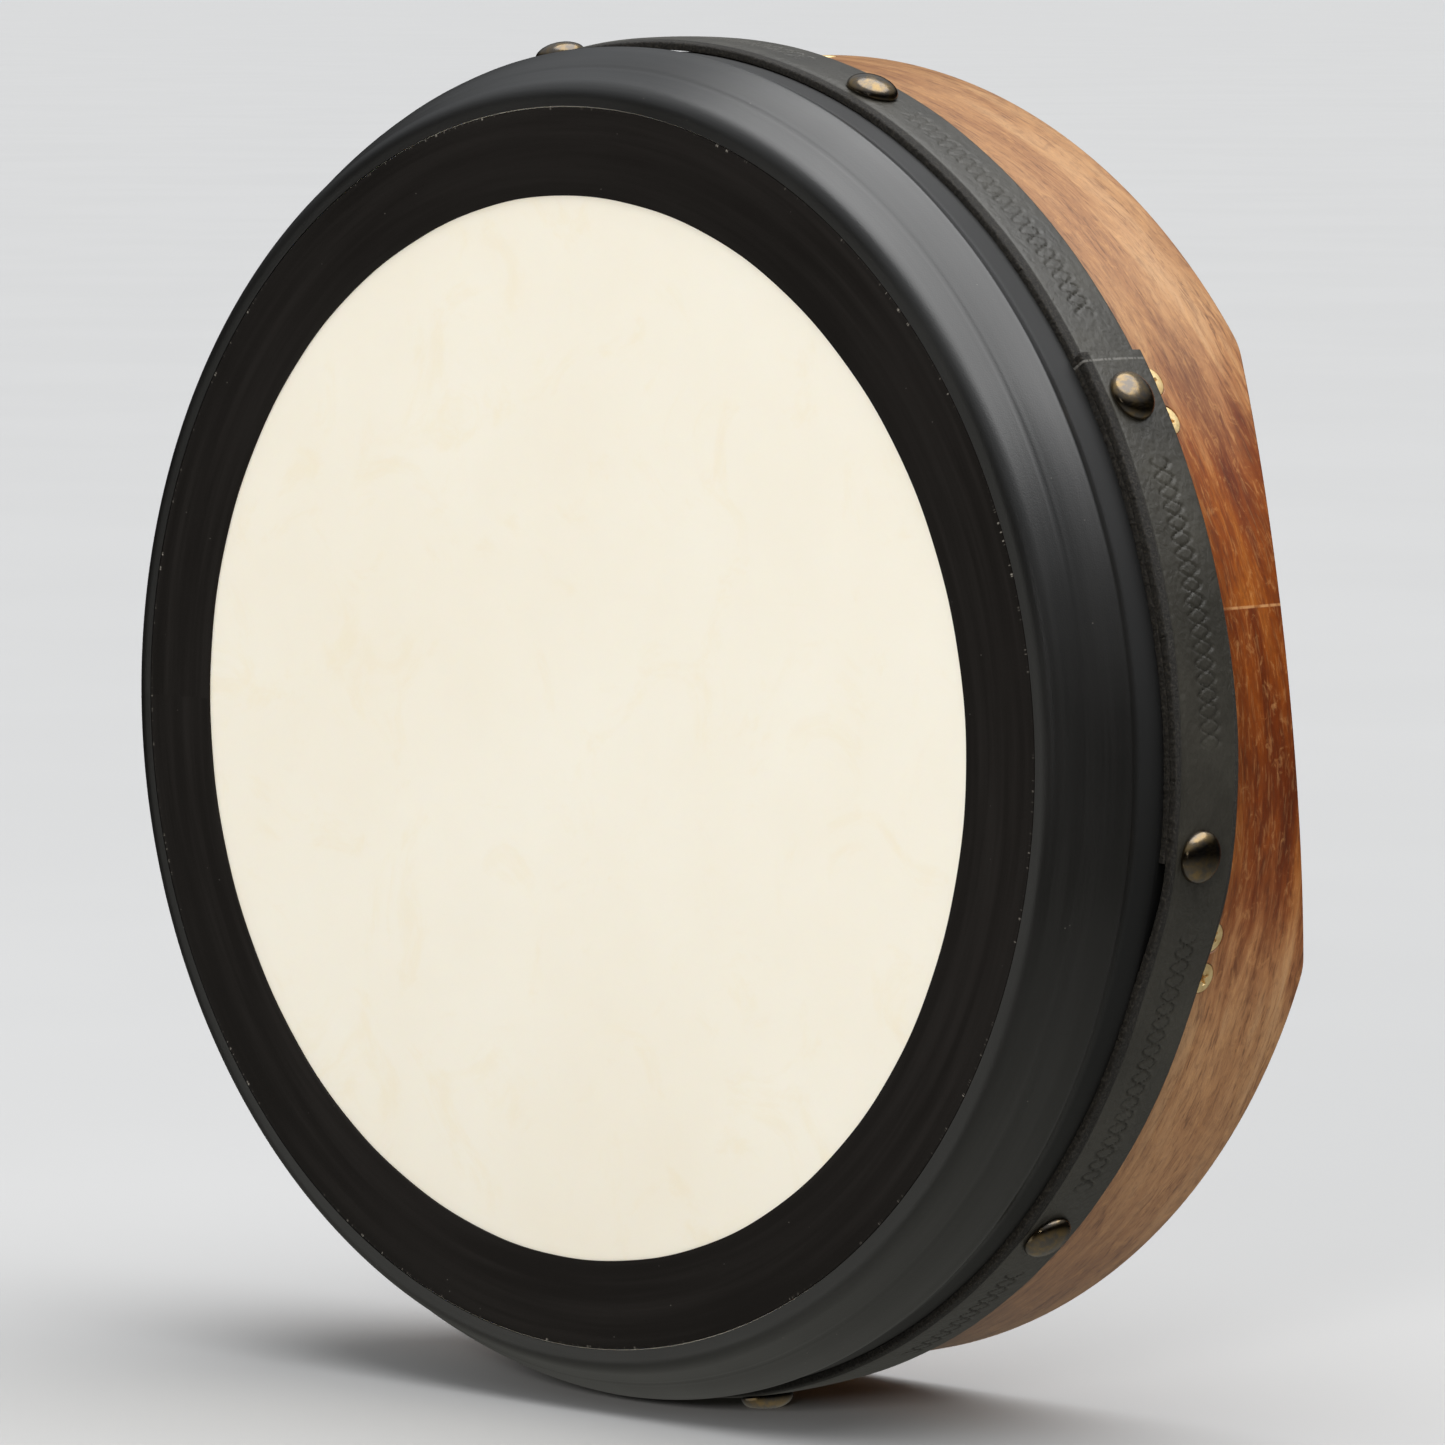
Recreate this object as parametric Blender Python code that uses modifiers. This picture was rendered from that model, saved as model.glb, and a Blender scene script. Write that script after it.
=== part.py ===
"""Tunable bodhran: a shallow one-headed frame drum, 14 in across and 4 in deep.

The drum's own frame has its axis along local Z. Depths are measured from the plane of the skin's face towards the
open back, and radii from the axis. An empty turns that frame so that the face looks along world -Y, the open back
along +Y, and the origin is the middle of the crossbar, where the hand holds the drum.
Angles go round the axis as the face is seen from the front: 0 degrees is world +X and 90 degrees is world +Z.
"""

import math

import bmesh
import bpy
from mathutils import Matrix

MM = 0.001
GAP = 0.3
SEGMENTS = 60

# Wooden shell, in millimetres.
SHELL_RADIUS = 177.8
SHELL_INNER = 168.5
SHELL_BACK = 102.4
SHELL_EASE = 1.0

# Arm cutaway in the back edge: a round scoop with eased corners.
SCOOP_ANGLE = 8.2
SCOOP_FLOOR = 85.0
SCOOP_RADIUS = 201.6
SCOOP_CORNER = 14.0

# Goat skin: outer surface from the middle of the face to its hem under the leather band.
SKIN_THICKNESS = 0.8
SKIN_HEM = 55.5
SKIN_SHOULDER = [(166.5, 0.0), (168.8, 0.5), (170.9, 2.0), (172.2, 4.6), (174.2, 8.4), (177.2, 12.8), (179.0, 17.0)]

# Black cloth tape on the face and over the shoulder.
TAPE_INNER = 141.6
TAPE_JOIN = 165.3
TAPE_THICKNESS = 0.4
TAPE_RIDGE = [(180.7, 18.2), (180.3, 21.6), (179.75, 25.5), (179.7, 31.3)]

# Leather band that covers the hem. Its last stretch laps over its first.
BAND_INNER = 179.3
BAND_THICKNESS = 2.0
BAND_FRONT = 31.6
BAND_BACK = 55.8
BAND_START = -8.0
BAND_END = 34.5
BAND_CLIMB_FROM = 340
BAND_CLIMB_TO = 351
BAND_PLY_GAP = 0.2

# Domed tacks along the middle of the leather band.
TACK_ANGLES = [104.5, 68.4, 29.8, -7.3, -44.0, -80.5, -116.0, -152.0, 173.0, 139.0]
TACK_DEPTH = 42.7
TACK_RADIUS = 7.0
TACK_RISE = 3.9
TACK_PIN = 0.7
TACK_PIN_LENGTH = 11.0

# Tuning ring inside the shell, and the tuners that push it against the skin.
RING_OUTER = 167.3
RING_INNER = 158.5
RING_FRONT = SKIN_THICKNESS + GAP
RING_BACK = 20.1
TUNER_ANGLES = [30.4, -16.8, -61.0, -105.5, -150.0, 165.5, 121.0, 75.5]
TUNER_CIRCLE = 162.9
BRACKET_WIDTH = 22.0
BRACKET_DEPTH = 14.0
BRACKET_MIDDLE = 61.0
BRACKET_INNER = 155.4
BRACKET_OUTER = 167.6
BOLT_RADIUS = 2.95
BOLT_HEAD_RADIUS = 5.0
BOLT_HEAD_UNDER = 72.0
BOLT_HEAD_TOP = 78.0

# Countersunk brass screws from outside the shell.
SCREW_HEAD_RADIUS = 4.1
SCREW_SHANK_RADIUS = 1.9
SCREW_SINK = 0.3
BRACKET_SCREW_LENGTH = 17.0
BRACKET_SCREW_OFFSET = 5.6
BAR_SCREW_LENGTH = 30.0
BAR_SCREW_OFFSET = 7.0

# Crossbar across the open back.
BAR_MIDDLE = 88.5
BAR_WIDTH = 27.0
BAR_WAIST = 21.0
BAR_THICKNESS = 13.0
BAR_HALF_LENGTH = 167.5


def clear_scene():
    for obj in list(bpy.data.objects):
        bpy.data.objects.remove(obj, do_unlink=True)
    for collection in list(bpy.data.collections):
        bpy.data.collections.remove(collection)


def make_collection(name):
    collection = bpy.data.collections.new(name)
    bpy.context.scene.collection.children.link(collection)
    return collection


def make_material(name, colour, roughness, metallic=0.0):
    material = bpy.data.materials.new(name)
    material.use_nodes = True
    shader = material.node_tree.nodes["Principled BSDF"]
    shader.inputs["Base Color"].default_value = (*colour, 1.0)
    shader.inputs["Roughness"].default_value = roughness
    shader.inputs["Metallic"].default_value = metallic
    return material


clear_scene()
PARTS = make_collection("bodhran")
CUTTERS = make_collection("cutters")

WOOD = make_material("shell_wood", (0.42, 0.16, 0.05), 0.35)
RING_WOOD = make_material("ring_wood", (0.62, 0.42, 0.22), 0.5)
BAR_WOOD = make_material("bar_wood", (0.36, 0.14, 0.05), 0.35)
GOATSKIN = make_material("goatskin", (0.86, 0.80, 0.66), 0.55)
TAPE = make_material("black_tape", (0.02, 0.02, 0.018), 0.65)
LEATHER = make_material("black_leather", (0.03, 0.03, 0.028), 0.5)
ANTIQUE_BRASS = make_material("antique_brass", (0.16, 0.11, 0.05), 0.3, 1.0)
BRASS = make_material("brass", (0.83, 0.62, 0.30), 0.3, 1.0)
STEEL = make_material("plated_steel", (0.60, 0.60, 0.60), 0.3, 1.0)

drum = bpy.data.objects.new("drum_axis", None)
drum.location = (0.0, -BAR_MIDDLE * MM, 0.0)
drum.rotation_euler = (math.radians(-90.0), 0.0, 0.0)
PARTS.objects.link(drum)


def add_part(name, mesh, material, matrix=None):
    """A visible piece, placed in the drum's own frame by the matrix, in metres."""
    obj = bpy.data.objects.new(name, mesh)
    PARTS.objects.link(obj)
    obj.parent = drum
    if matrix is not None:
        obj.matrix_local = matrix
    if not mesh.materials:
        mesh.materials.append(material)
    return obj


def add_cutter(name, mesh):
    obj = bpy.data.objects.new(name, mesh)
    CUTTERS.objects.link(obj)
    obj.parent = drum
    obj.hide_render = True
    obj.display_type = "WIRE"
    return obj


def cut(obj, cutter):
    boolean = obj.modifiers.new("cut_" + cutter.name, "BOOLEAN")
    boolean.operation = "DIFFERENCE"
    boolean.solver = "EXACT"
    boolean.object = cutter


def profile_mesh(name, points, closed):
    """Radius and depth points, in millimetres, as edges in the XZ plane."""
    count = len(points)
    vertices = [(radius * MM, 0.0, depth * MM) for radius, depth in points]
    edges = [(i, i + 1) for i in range(count - 1)]
    if closed:
        edges.append((count - 1, 0))
    mesh = bpy.data.meshes.new(name)
    mesh.from_pydata(vertices, edges, [])
    return mesh


def turn(obj, segments):
    screw = obj.modifiers.new("turn", "SCREW")
    screw.steps = segments
    screw.render_steps = segments
    screw.use_merge_vertices = True
    screw.merge_threshold = 0.00001
    screw.use_smooth_shade = True


def turned_part(name, points, material, closed=True):
    obj = add_part(name, profile_mesh(name, points, closed), material)
    turn(obj, SEGMENTS)
    return obj


def baked(obj):
    """The object's mesh with its modifiers applied; the object itself is removed."""
    graph = bpy.context.evaluated_depsgraph_get()
    graph.update()
    mesh = bpy.data.meshes.new_from_object(obj.evaluated_get(graph))
    mesh.name = obj.name
    bpy.data.objects.remove(obj, do_unlink=True)
    return mesh


def turned_mesh(name, points, segments):
    """A small turned solid as a mesh: its profile starts and ends on the axis and runs from top to bottom."""
    obj = bpy.data.objects.new(name, profile_mesh(name, points, False))
    CUTTERS.objects.link(obj)
    turn(obj, segments)
    return baked(obj)


def offset(points, distance):
    """The points moved outwards, towards the face and the rim, by the distance along the profile's normal."""
    moved = []
    for i, (radius, depth) in enumerate(points):
        before = points[max(i - 1, 0)]
        after = points[min(i + 1, len(points) - 1)]
        run = after[0] - before[0]
        drop = after[1] - before[1]
        length = math.hypot(run, drop)
        moved.append((radius + distance * drop / length, depth - distance * run / length))
    return moved


def radial(angle, radius, depth, aside=0.0):
    """Places a shape whose +Z points out of the shell, at this angle, radius and depth in millimetres."""
    turned = Matrix.Rotation(math.radians(-angle), 4, "Z")
    moved = Matrix.Translation((radius * MM, aside * MM, depth * MM))
    return turned @ moved @ Matrix.Rotation(math.radians(90.0), 4, "Y")


def joined_copies(name, mesh, matrices):
    """One mesh that holds a copy of the shape at each matrix."""
    work = bmesh.new()
    for matrix in matrices:
        copy = bmesh.new()
        copy.from_mesh(mesh)
        copy.transform(matrix)
        piece = bpy.data.meshes.new(name)
        copy.to_mesh(piece)
        copy.free()
        work.from_mesh(piece)
    joined = bpy.data.meshes.new(name)
    work.to_mesh(joined)
    work.free()
    return joined


def plug_mesh(name, radius, top, bottom, sides):
    """A plain round cutter along Z."""
    work = bmesh.new()
    matrix = Matrix.Translation((0.0, 0.0, (top + bottom) / 2 * MM))
    bmesh.ops.create_cone(
        work,
        cap_ends=True,
        segments=sides,
        radius1=radius * MM,
        radius2=radius * MM,
        depth=(top - bottom) * MM,
        matrix=matrix,
    )
    mesh = bpy.data.meshes.new(name)
    work.to_mesh(mesh)
    work.free()
    return mesh


def box_mesh(name, low, high):
    work = bmesh.new()
    size = [(b - a) * MM for a, b in zip(low, high)]
    middle = [(a + b) / 2 * MM for a, b in zip(low, high)]
    bmesh.ops.create_cube(work, size=1.0, matrix=Matrix.Translation(middle) @ Matrix.Diagonal((*size, 1.0)))
    mesh = bpy.data.meshes.new(name)
    work.to_mesh(mesh)
    work.free()
    return mesh


def outline_mesh(name, points, low, high):
    """A flat outline, in millimetres, raised from low to high along Z, as a closed mesh."""
    curve = bpy.data.curves.new(name, "CURVE")
    curve.dimensions = "2D"
    curve.fill_mode = "BOTH"
    curve.extrude = (high - low) / 2 * MM
    spline = curve.splines.new("POLY")
    spline.points.add(len(points) - 1)
    for point, (x, y) in zip(spline.points, points):
        point.co = (x * MM, y * MM, 0.0, 1.0)
    spline.use_cyclic_u = True
    obj = bpy.data.objects.new(name, curve)
    CUTTERS.objects.link(obj)
    mesh = baked(obj)
    work = bmesh.new()
    work.from_mesh(mesh)
    bmesh.ops.remove_doubles(work, verts=work.verts, dist=0.000001)
    bmesh.ops.translate(work, verts=work.verts, vec=(0.0, 0.0, (low + high) / 2 * MM))
    bmesh.ops.recalc_face_normals(work, faces=work.faces)
    work.to_mesh(mesh)
    work.free()
    return mesh


def smooth_edges(mesh, angle=40.0):
    mesh.shade_smooth()
    mesh.set_sharp_from_angle(angle=math.radians(angle))


def scoop_outline():
    """The cutaway seen along its radial axis: across the rim, then depth. It closes well behind the back edge."""
    centre = SCOOP_FLOOR + SCOOP_RADIUS
    corner_depth = SHELL_BACK - SCOOP_CORNER
    corner_across = math.sqrt((SCOOP_RADIUS + SCOOP_CORNER) ** 2 - (centre - corner_depth) ** 2)
    reach = math.asin(corner_across / (SCOOP_RADIUS + SCOOP_CORNER))
    half = [(corner_across, SHELL_BACK + 15.0)]
    for i in range(5):
        turn_angle = math.pi / 2 + reach * i / 4
        across = corner_across + SCOOP_CORNER * math.cos(turn_angle)
        half.append((across, corner_depth + SCOOP_CORNER * math.sin(turn_angle)))
    steps = 9
    for i in range(1, steps + 1):
        arc = reach * (1 - i / steps)
        half.append((SCOOP_RADIUS * math.sin(arc), centre - SCOOP_RADIUS * math.cos(arc)))
    mirrored = [(-across, depth) for across, depth in reversed(half[:-1])]
    return half + mirrored


def band_path():
    """Angle and inner radius along the leather band, from its hidden end round to its lapped end."""
    angles = [BAND_START]
    angles += range(-5, BAND_CLIMB_FROM + 1, 5)
    angles += range(BAND_CLIMB_FROM + 3, BAND_CLIMB_TO + 1, 2)
    angles += range(BAND_CLIMB_TO + 4, 391, 5)
    angles.append(360.0 + BAND_END)
    path = []
    for angle in angles:
        climbed = (angle - BAND_CLIMB_FROM) / (BAND_CLIMB_TO - BAND_CLIMB_FROM)
        climbed = min(max(climbed, 0.0), 1.0)
        eased = climbed * climbed * (3 - 2 * climbed)
        path.append((angle, BAND_INNER + eased * (BAND_THICKNESS + BAND_PLY_GAP)))
    return path


def band_outline():
    inner = []
    outer = []
    for angle, radius in band_path():
        turn_angle = math.radians(-angle)
        inner.append((radius * math.cos(turn_angle), radius * math.sin(turn_angle)))
        radius += BAND_THICKNESS
        outer.append((radius * math.cos(turn_angle), radius * math.sin(turn_angle)))
    return inner + outer[::-1]


def on_lap(angle):
    return BAND_START - 2.0 < angle < BAND_END


# Holes shared by the shell, the skin and the leather band.
pin_hole = plug_mesh("pin_hole", TACK_PIN + 0.5, 4.0, -14.0, 6)
pin_holes = add_cutter(
    "pin_holes",
    joined_copies("pin_holes", pin_hole, [radial(angle, 184.0, TACK_DEPTH) for angle in TACK_ANGLES]),
)

# Shell.
shell_front = offset(SKIN_SHOULDER, -(SKIN_THICKNESS + GAP + 0.1))[3:]
shell_profile = [(SHELL_RADIUS, SHELL_BACK - SHELL_EASE), (SHELL_RADIUS, 18.0)]
shell_profile += [point for point in reversed(shell_front[:-1])]
shell_profile += [(170.0, 4.6), (169.2, 4.6), (SHELL_INNER, 5.3)]
shell_profile += [(SHELL_INNER, SHELL_BACK - SHELL_EASE), (SHELL_INNER + SHELL_EASE, SHELL_BACK)]
shell_profile += [(SHELL_RADIUS - SHELL_EASE, SHELL_BACK)]
shell = turned_part("shell", shell_profile, WOOD)

scoop = add_cutter("scoop", outline_mesh("scoop", scoop_outline(), 150.0, 195.0))
scoop_turn = Matrix.Rotation(math.radians(90.0), 4, "Z") @ Matrix.Rotation(math.radians(90.0), 4, "X")
scoop.matrix_local = Matrix.Rotation(math.radians(-SCOOP_ANGLE), 4, "Z") @ scoop_turn
cut(shell, scoop)

sink_profile = [
    (0.0, 1.5),
    (SCREW_HEAD_RADIUS + 0.4, 1.5),
    (SCREW_HEAD_RADIUS + 0.4, -0.6),
    (SCREW_SHANK_RADIUS + 0.4, -3.0),
    (SCREW_SHANK_RADIUS + 0.4, -13.0),
    (0.0, -13.0),
]
sink = turned_mesh("sink", sink_profile, 10)
screw_seats = []
for angle in TUNER_ANGLES:
    for side in (-1, 1):
        screw_seats.append(radial(angle, SHELL_RADIUS - SCREW_SINK, BRACKET_MIDDLE, side * BRACKET_SCREW_OFFSET))
bar_seats = []
for angle in (90.0, -90.0):
    for side in (-1, 1):
        bar_seats.append(radial(angle, SHELL_RADIUS - SCREW_SINK, BAR_MIDDLE, side * BAR_SCREW_OFFSET))
sinks = add_cutter("sinks", joined_copies("sinks", sink, screw_seats + bar_seats))
cut(shell, sinks)
cut(shell, pin_holes)

# Goat skin: a shallow cup over the shell's front edge.
skin_outer = [(0.0, 0.0)] + SKIN_SHOULDER
skin_inner = [(0.0, SKIN_THICKNESS)] + offset(SKIN_SHOULDER, -SKIN_THICKNESS)
wall_inner = SKIN_SHOULDER[-1][0] - SKIN_THICKNESS
skin_inner[-1] = (wall_inner, SKIN_SHOULDER[-1][1])
skin_profile = skin_inner + [(wall_inner, SKIN_HEM), (SKIN_SHOULDER[-1][0], SKIN_HEM)] + skin_outer[::-1]
skin = turned_part("skin", skin_profile, GOATSKIN, closed=False)
cut(skin, pin_holes)

# Tape ring on the face, and the tape band from there over the shoulder.
face_low = -(GAP + TAPE_THICKNESS)
tape_face_profile = [
    (TAPE_JOIN - GAP, -GAP),
    (TAPE_JOIN - GAP, face_low),
    (TAPE_INNER, face_low),
    (TAPE_INNER, -GAP),
]
turned_part("tape_face", tape_face_profile, TAPE)

tape_inside = [(TAPE_JOIN, -GAP)] + offset(SKIN_SHOULDER, GAP)[1:-1]
tape_inside += [(SKIN_SHOULDER[-1][0] + GAP, SKIN_SHOULDER[-1][1]), (SKIN_SHOULDER[-1][0] + GAP, TAPE_RIDGE[-1][1])]
tape_outside = [(TAPE_JOIN, face_low)] + offset(SKIN_SHOULDER, GAP + TAPE_THICKNESS + 0.2)[1:-1] + TAPE_RIDGE
turned_part("tape_shoulder", tape_inside + tape_outside[::-1], TAPE)

# Leather band.
band_mesh = outline_mesh("leather_band", band_outline(), BAND_FRONT, BAND_BACK)
band = add_part("leather_band", band_mesh, LEATHER)
cut(band, pin_holes)

# Tacks.
tack_profile = [(0.0, TACK_RISE)]
for lift in (62.0, 36.0, 14.0):
    slope = math.radians(lift)
    tack_profile.append((TACK_RADIUS * math.cos(slope), TACK_RISE * math.sin(slope)))
tack_profile += [(TACK_RADIUS, 0.0), (TACK_PIN, 0.0), (TACK_PIN, 1.6 - TACK_PIN_LENGTH), (0.0, -TACK_PIN_LENGTH)]
tack_mesh = turned_mesh("tack", tack_profile, 10)
tack_mesh.materials.append(ANTIQUE_BRASS)
smooth_edges(tack_mesh)
for index, angle in enumerate(TACK_ANGLES, 1):
    seat = BAND_INNER + BAND_THICKNESS + GAP
    if on_lap(angle):
        seat += BAND_THICKNESS + BAND_PLY_GAP
    add_part(f"tack_{index:02d}", tack_mesh, ANTIQUE_BRASS, radial(angle, seat, TACK_DEPTH))

# Tuning ring: a wooden hoop with eased edges that slides along the drum's axis.
ring_profile = [
    (RING_OUTER, RING_BACK),
    (RING_OUTER, RING_FRONT + 1.2),
    (RING_OUTER - 1.2, RING_FRONT),
    (RING_INNER + 1.2, RING_FRONT),
    (RING_INNER, RING_FRONT + 1.2),
    (RING_INNER, RING_BACK),
]
turned_part("tuning_ring", ring_profile, RING_WOOD)

# Tuner brackets: blocks inside the shell, each with a threaded hole along the drum's axis.
low = (BRACKET_INNER, -BRACKET_WIDTH / 2, BRACKET_MIDDLE - BRACKET_DEPTH / 2)
high = (BRACKET_OUTER, BRACKET_WIDTH / 2, BRACKET_MIDDLE + BRACKET_DEPTH / 2)
block = bpy.data.objects.new("tuner_bracket", box_mesh("tuner_bracket", low, high))
CUTTERS.objects.link(block)
ease = block.modifiers.new("ease", "BEVEL")
ease.width = 1.2 * MM
ease.segments = 1
bolt_hole = plug_mesh("bolt_hole", BOLT_RADIUS + 0.45, BRACKET_MIDDLE + 12.0, BRACKET_MIDDLE - 12.0, 12)
bolt_hole.transform(Matrix.Translation((TUNER_CIRCLE * MM, 0.0, 0.0)))
screw_hole = plug_mesh("screw_hole", SCREW_SHANK_RADIUS + 0.4, 4.0, -8.6, 8)
hole_places = [radial(0.0, BRACKET_OUTER, BRACKET_MIDDLE, side * BRACKET_SCREW_OFFSET) for side in (-1, 1)]
bracket_holes = [bolt_hole, joined_copies("bracket_screw_holes", screw_hole, hole_places)]
hole_cutters = []
for hole in bracket_holes:
    cutter = bpy.data.objects.new(hole.name, hole)
    CUTTERS.objects.link(cutter)
    cutter.hide_render = True
    hole_cutters.append(cutter)
    cut(block, cutter)
bracket_mesh = baked(block)
bracket_mesh.materials.clear()
bracket_mesh.materials.append(STEEL)
for cutter in hole_cutters:
    bpy.data.objects.remove(cutter, do_unlink=True)
for index, angle in enumerate(TUNER_ANGLES, 1):
    place = Matrix.Rotation(math.radians(-angle), 4, "Z")
    add_part(f"tuner_bracket_{index}", bracket_mesh, STEEL, place)

# Tuner bolts: socket-headed, with the head towards the open back and the tip against the ring.
bolt_length = BOLT_HEAD_UNDER - RING_BACK - GAP
bolt_profile = [
    (0.0, bolt_length + BOLT_HEAD_TOP - BOLT_HEAD_UNDER),
    (BOLT_HEAD_RADIUS - 0.6, bolt_length + BOLT_HEAD_TOP - BOLT_HEAD_UNDER),
    (BOLT_HEAD_RADIUS, bolt_length + BOLT_HEAD_TOP - BOLT_HEAD_UNDER - 0.6),
    (BOLT_HEAD_RADIUS, bolt_length),
    (BOLT_RADIUS, bolt_length),
    (BOLT_RADIUS, 1.2),
    (BOLT_RADIUS - 1.2, 0.0),
    (0.0, 0.0),
]
bolt = bpy.data.objects.new("tuner_bolt", turned_mesh("tuner_bolt", bolt_profile, 12))
CUTTERS.objects.link(bolt)
socket_top = bolt_length + BOLT_HEAD_TOP - BOLT_HEAD_UNDER
socket = bpy.data.objects.new("socket", plug_mesh("socket", 2.9, socket_top + 2.0, socket_top - 3.4, 6))
CUTTERS.objects.link(socket)
cut(bolt, socket)
bolt_mesh = baked(bolt)
bolt_mesh.materials.clear()
bolt_mesh.materials.append(STEEL)
smooth_edges(bolt_mesh)
bpy.data.objects.remove(socket, do_unlink=True)
for index, angle in enumerate(TUNER_ANGLES, 1):
    turned = Matrix.Rotation(math.radians(-angle), 4, "Z")
    place = turned @ Matrix.Translation((TUNER_CIRCLE * MM, 0.0, (RING_BACK + GAP) * MM))
    add_part(f"tuner_bolt_{index}", bolt_mesh, STEEL, place)


def screw_mesh(name, length):
    """A countersunk screw with a cross recess, its head's top at Z = 0."""
    profile = [
        (0.0, 0.0),
        (SCREW_HEAD_RADIUS, 0.0),
        (SCREW_HEAD_RADIUS, -0.5),
        (SCREW_SHANK_RADIUS, -2.8),
        (SCREW_SHANK_RADIUS, 2.5 - length),
        (0.0, -length),
    ]
    obj = bpy.data.objects.new(name, turned_mesh(name, profile, 10))
    CUTTERS.objects.link(obj)
    slots = []
    for half_x, half_y in ((2.2, 0.5), (0.5, 2.2)):
        slot = bpy.data.objects.new("slot", box_mesh("slot", (-half_x, -half_y, -1.6), (half_x, half_y, 1.0)))
        CUTTERS.objects.link(slot)
        cut(obj, slot)
        slots.append(slot)
    mesh = baked(obj)
    for slot in slots:
        bpy.data.objects.remove(slot, do_unlink=True)
    mesh.materials.clear()
    mesh.materials.append(BRASS)
    smooth_edges(mesh)
    return mesh


bracket_screw = screw_mesh("bracket_screw", BRACKET_SCREW_LENGTH)
for index in range(len(TUNER_ANGLES)):
    for side, letter in enumerate("ab"):
        add_part(f"bracket_screw_{index + 1}{letter}", bracket_screw, BRASS, screw_seats[2 * index + side])

# Crossbar: a wooden slat with a slimmer waist for the hand, screwed on through the shell at both ends.
bar = bpy.data.objects.new("crossbar", bpy.data.meshes.new("crossbar"))
work = bmesh.new()
bmesh.ops.create_cube(work, size=1.0)
long_edges = [edge for edge in work.edges if abs(edge.verts[0].co.y - edge.verts[1].co.y) > 0.5]
bmesh.ops.subdivide_edges(work, edges=long_edges, cuts=7, use_grid_fill=True)
for vertex in work.verts:
    along = vertex.co.y * 2
    width = BAR_WAIST + (BAR_WIDTH - BAR_WAIST) * min(abs(along) / 0.75, 1.0) ** 2
    vertex.co.x *= width * MM
    vertex.co.y = along * BAR_HALF_LENGTH * MM
    vertex.co.z = vertex.co.z * BAR_THICKNESS * MM
work.to_mesh(bar.data)
work.free()
bar.data.materials.append(BAR_WOOD)
PARTS.objects.link(bar)
bar.parent = drum
bar.location = (0.0, 0.0, BAR_MIDDLE * MM)
ease = bar.modifiers.new("ease", "BEVEL")
ease.width = 2.5 * MM
ease.segments = 2
ease.limit_method = "ANGLE"
ease.angle_limit = math.radians(50.0)
bar_hole = plug_mesh("bar_hole", SCREW_SHANK_RADIUS + 0.4, -5.0, 0.0 - BAR_SCREW_LENGTH - 0.6, 8)
cut(bar, add_cutter("bar_holes", joined_copies("bar_holes", bar_hole, bar_seats)))

bar_screw = screw_mesh("bar_screw", BAR_SCREW_LENGTH)
for index, seat in enumerate(bar_seats, 1):
    add_part(f"bar_screw_{index}", bar_screw, BRASS, seat)
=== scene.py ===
"""The looks of a tunable bodhran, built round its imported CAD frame."""

import math

import bmesh
import bpy
import numpy as np
from mathutils import Matrix, Vector

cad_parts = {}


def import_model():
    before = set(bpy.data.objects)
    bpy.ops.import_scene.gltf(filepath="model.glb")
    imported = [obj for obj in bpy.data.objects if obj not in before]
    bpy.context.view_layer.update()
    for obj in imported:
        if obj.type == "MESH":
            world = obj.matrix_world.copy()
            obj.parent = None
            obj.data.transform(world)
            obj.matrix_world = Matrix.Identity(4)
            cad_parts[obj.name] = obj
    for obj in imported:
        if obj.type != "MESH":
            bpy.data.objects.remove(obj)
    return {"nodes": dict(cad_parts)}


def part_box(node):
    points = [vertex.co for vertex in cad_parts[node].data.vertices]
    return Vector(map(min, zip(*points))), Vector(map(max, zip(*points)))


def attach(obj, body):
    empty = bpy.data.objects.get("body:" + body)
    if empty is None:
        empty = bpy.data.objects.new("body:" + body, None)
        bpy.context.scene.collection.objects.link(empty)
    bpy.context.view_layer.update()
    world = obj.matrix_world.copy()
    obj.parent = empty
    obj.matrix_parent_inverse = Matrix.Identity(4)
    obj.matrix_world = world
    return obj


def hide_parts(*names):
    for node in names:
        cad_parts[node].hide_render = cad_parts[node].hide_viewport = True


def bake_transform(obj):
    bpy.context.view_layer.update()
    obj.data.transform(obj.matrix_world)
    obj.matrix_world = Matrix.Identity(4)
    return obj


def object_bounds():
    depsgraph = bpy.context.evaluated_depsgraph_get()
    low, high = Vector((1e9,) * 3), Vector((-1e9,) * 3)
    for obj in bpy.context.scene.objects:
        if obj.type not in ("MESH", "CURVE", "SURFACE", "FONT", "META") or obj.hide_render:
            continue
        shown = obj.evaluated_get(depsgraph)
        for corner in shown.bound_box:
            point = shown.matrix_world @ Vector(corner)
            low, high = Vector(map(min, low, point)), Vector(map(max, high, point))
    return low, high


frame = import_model()
CAD_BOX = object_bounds()

MM = 0.001

# The frame: the drum's axis is world Y, its face is towards -Y, and angles go round from +X towards +Z.
# Radii and depths below are in millimetres, depths from the plane of the skin's face towards the open back.
SKIN_LOW, SKIN_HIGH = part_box("skin")
SHELL_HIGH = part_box("shell")[1]
BAND_LOW, BAND_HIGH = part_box("leather_band")
RING_LOW, RING_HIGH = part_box("tuning_ring")
FACE_Y = SKIN_LOW.y
SHELL_RADIUS = SHELL_HIGH.z / MM
SHELL_BACK = (SHELL_HIGH.y - FACE_Y) / MM
BAND_FRONT = (BAND_LOW.y - FACE_Y) / MM
BAND_BACK = (BAND_HIGH.y - FACE_Y) / MM
SKIN_HEM = min((SKIN_HIGH.y - FACE_Y) / MM, BAND_BACK - 3.0)
RING_FRONT = (RING_LOW.y - FACE_Y) / MM
RING_BACK = (RING_HIGH.y - FACE_Y) / MM
RING_OUTER = RING_HIGH.z / MM
FLOOR_Z = CAD_BOX[0].z

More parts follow.
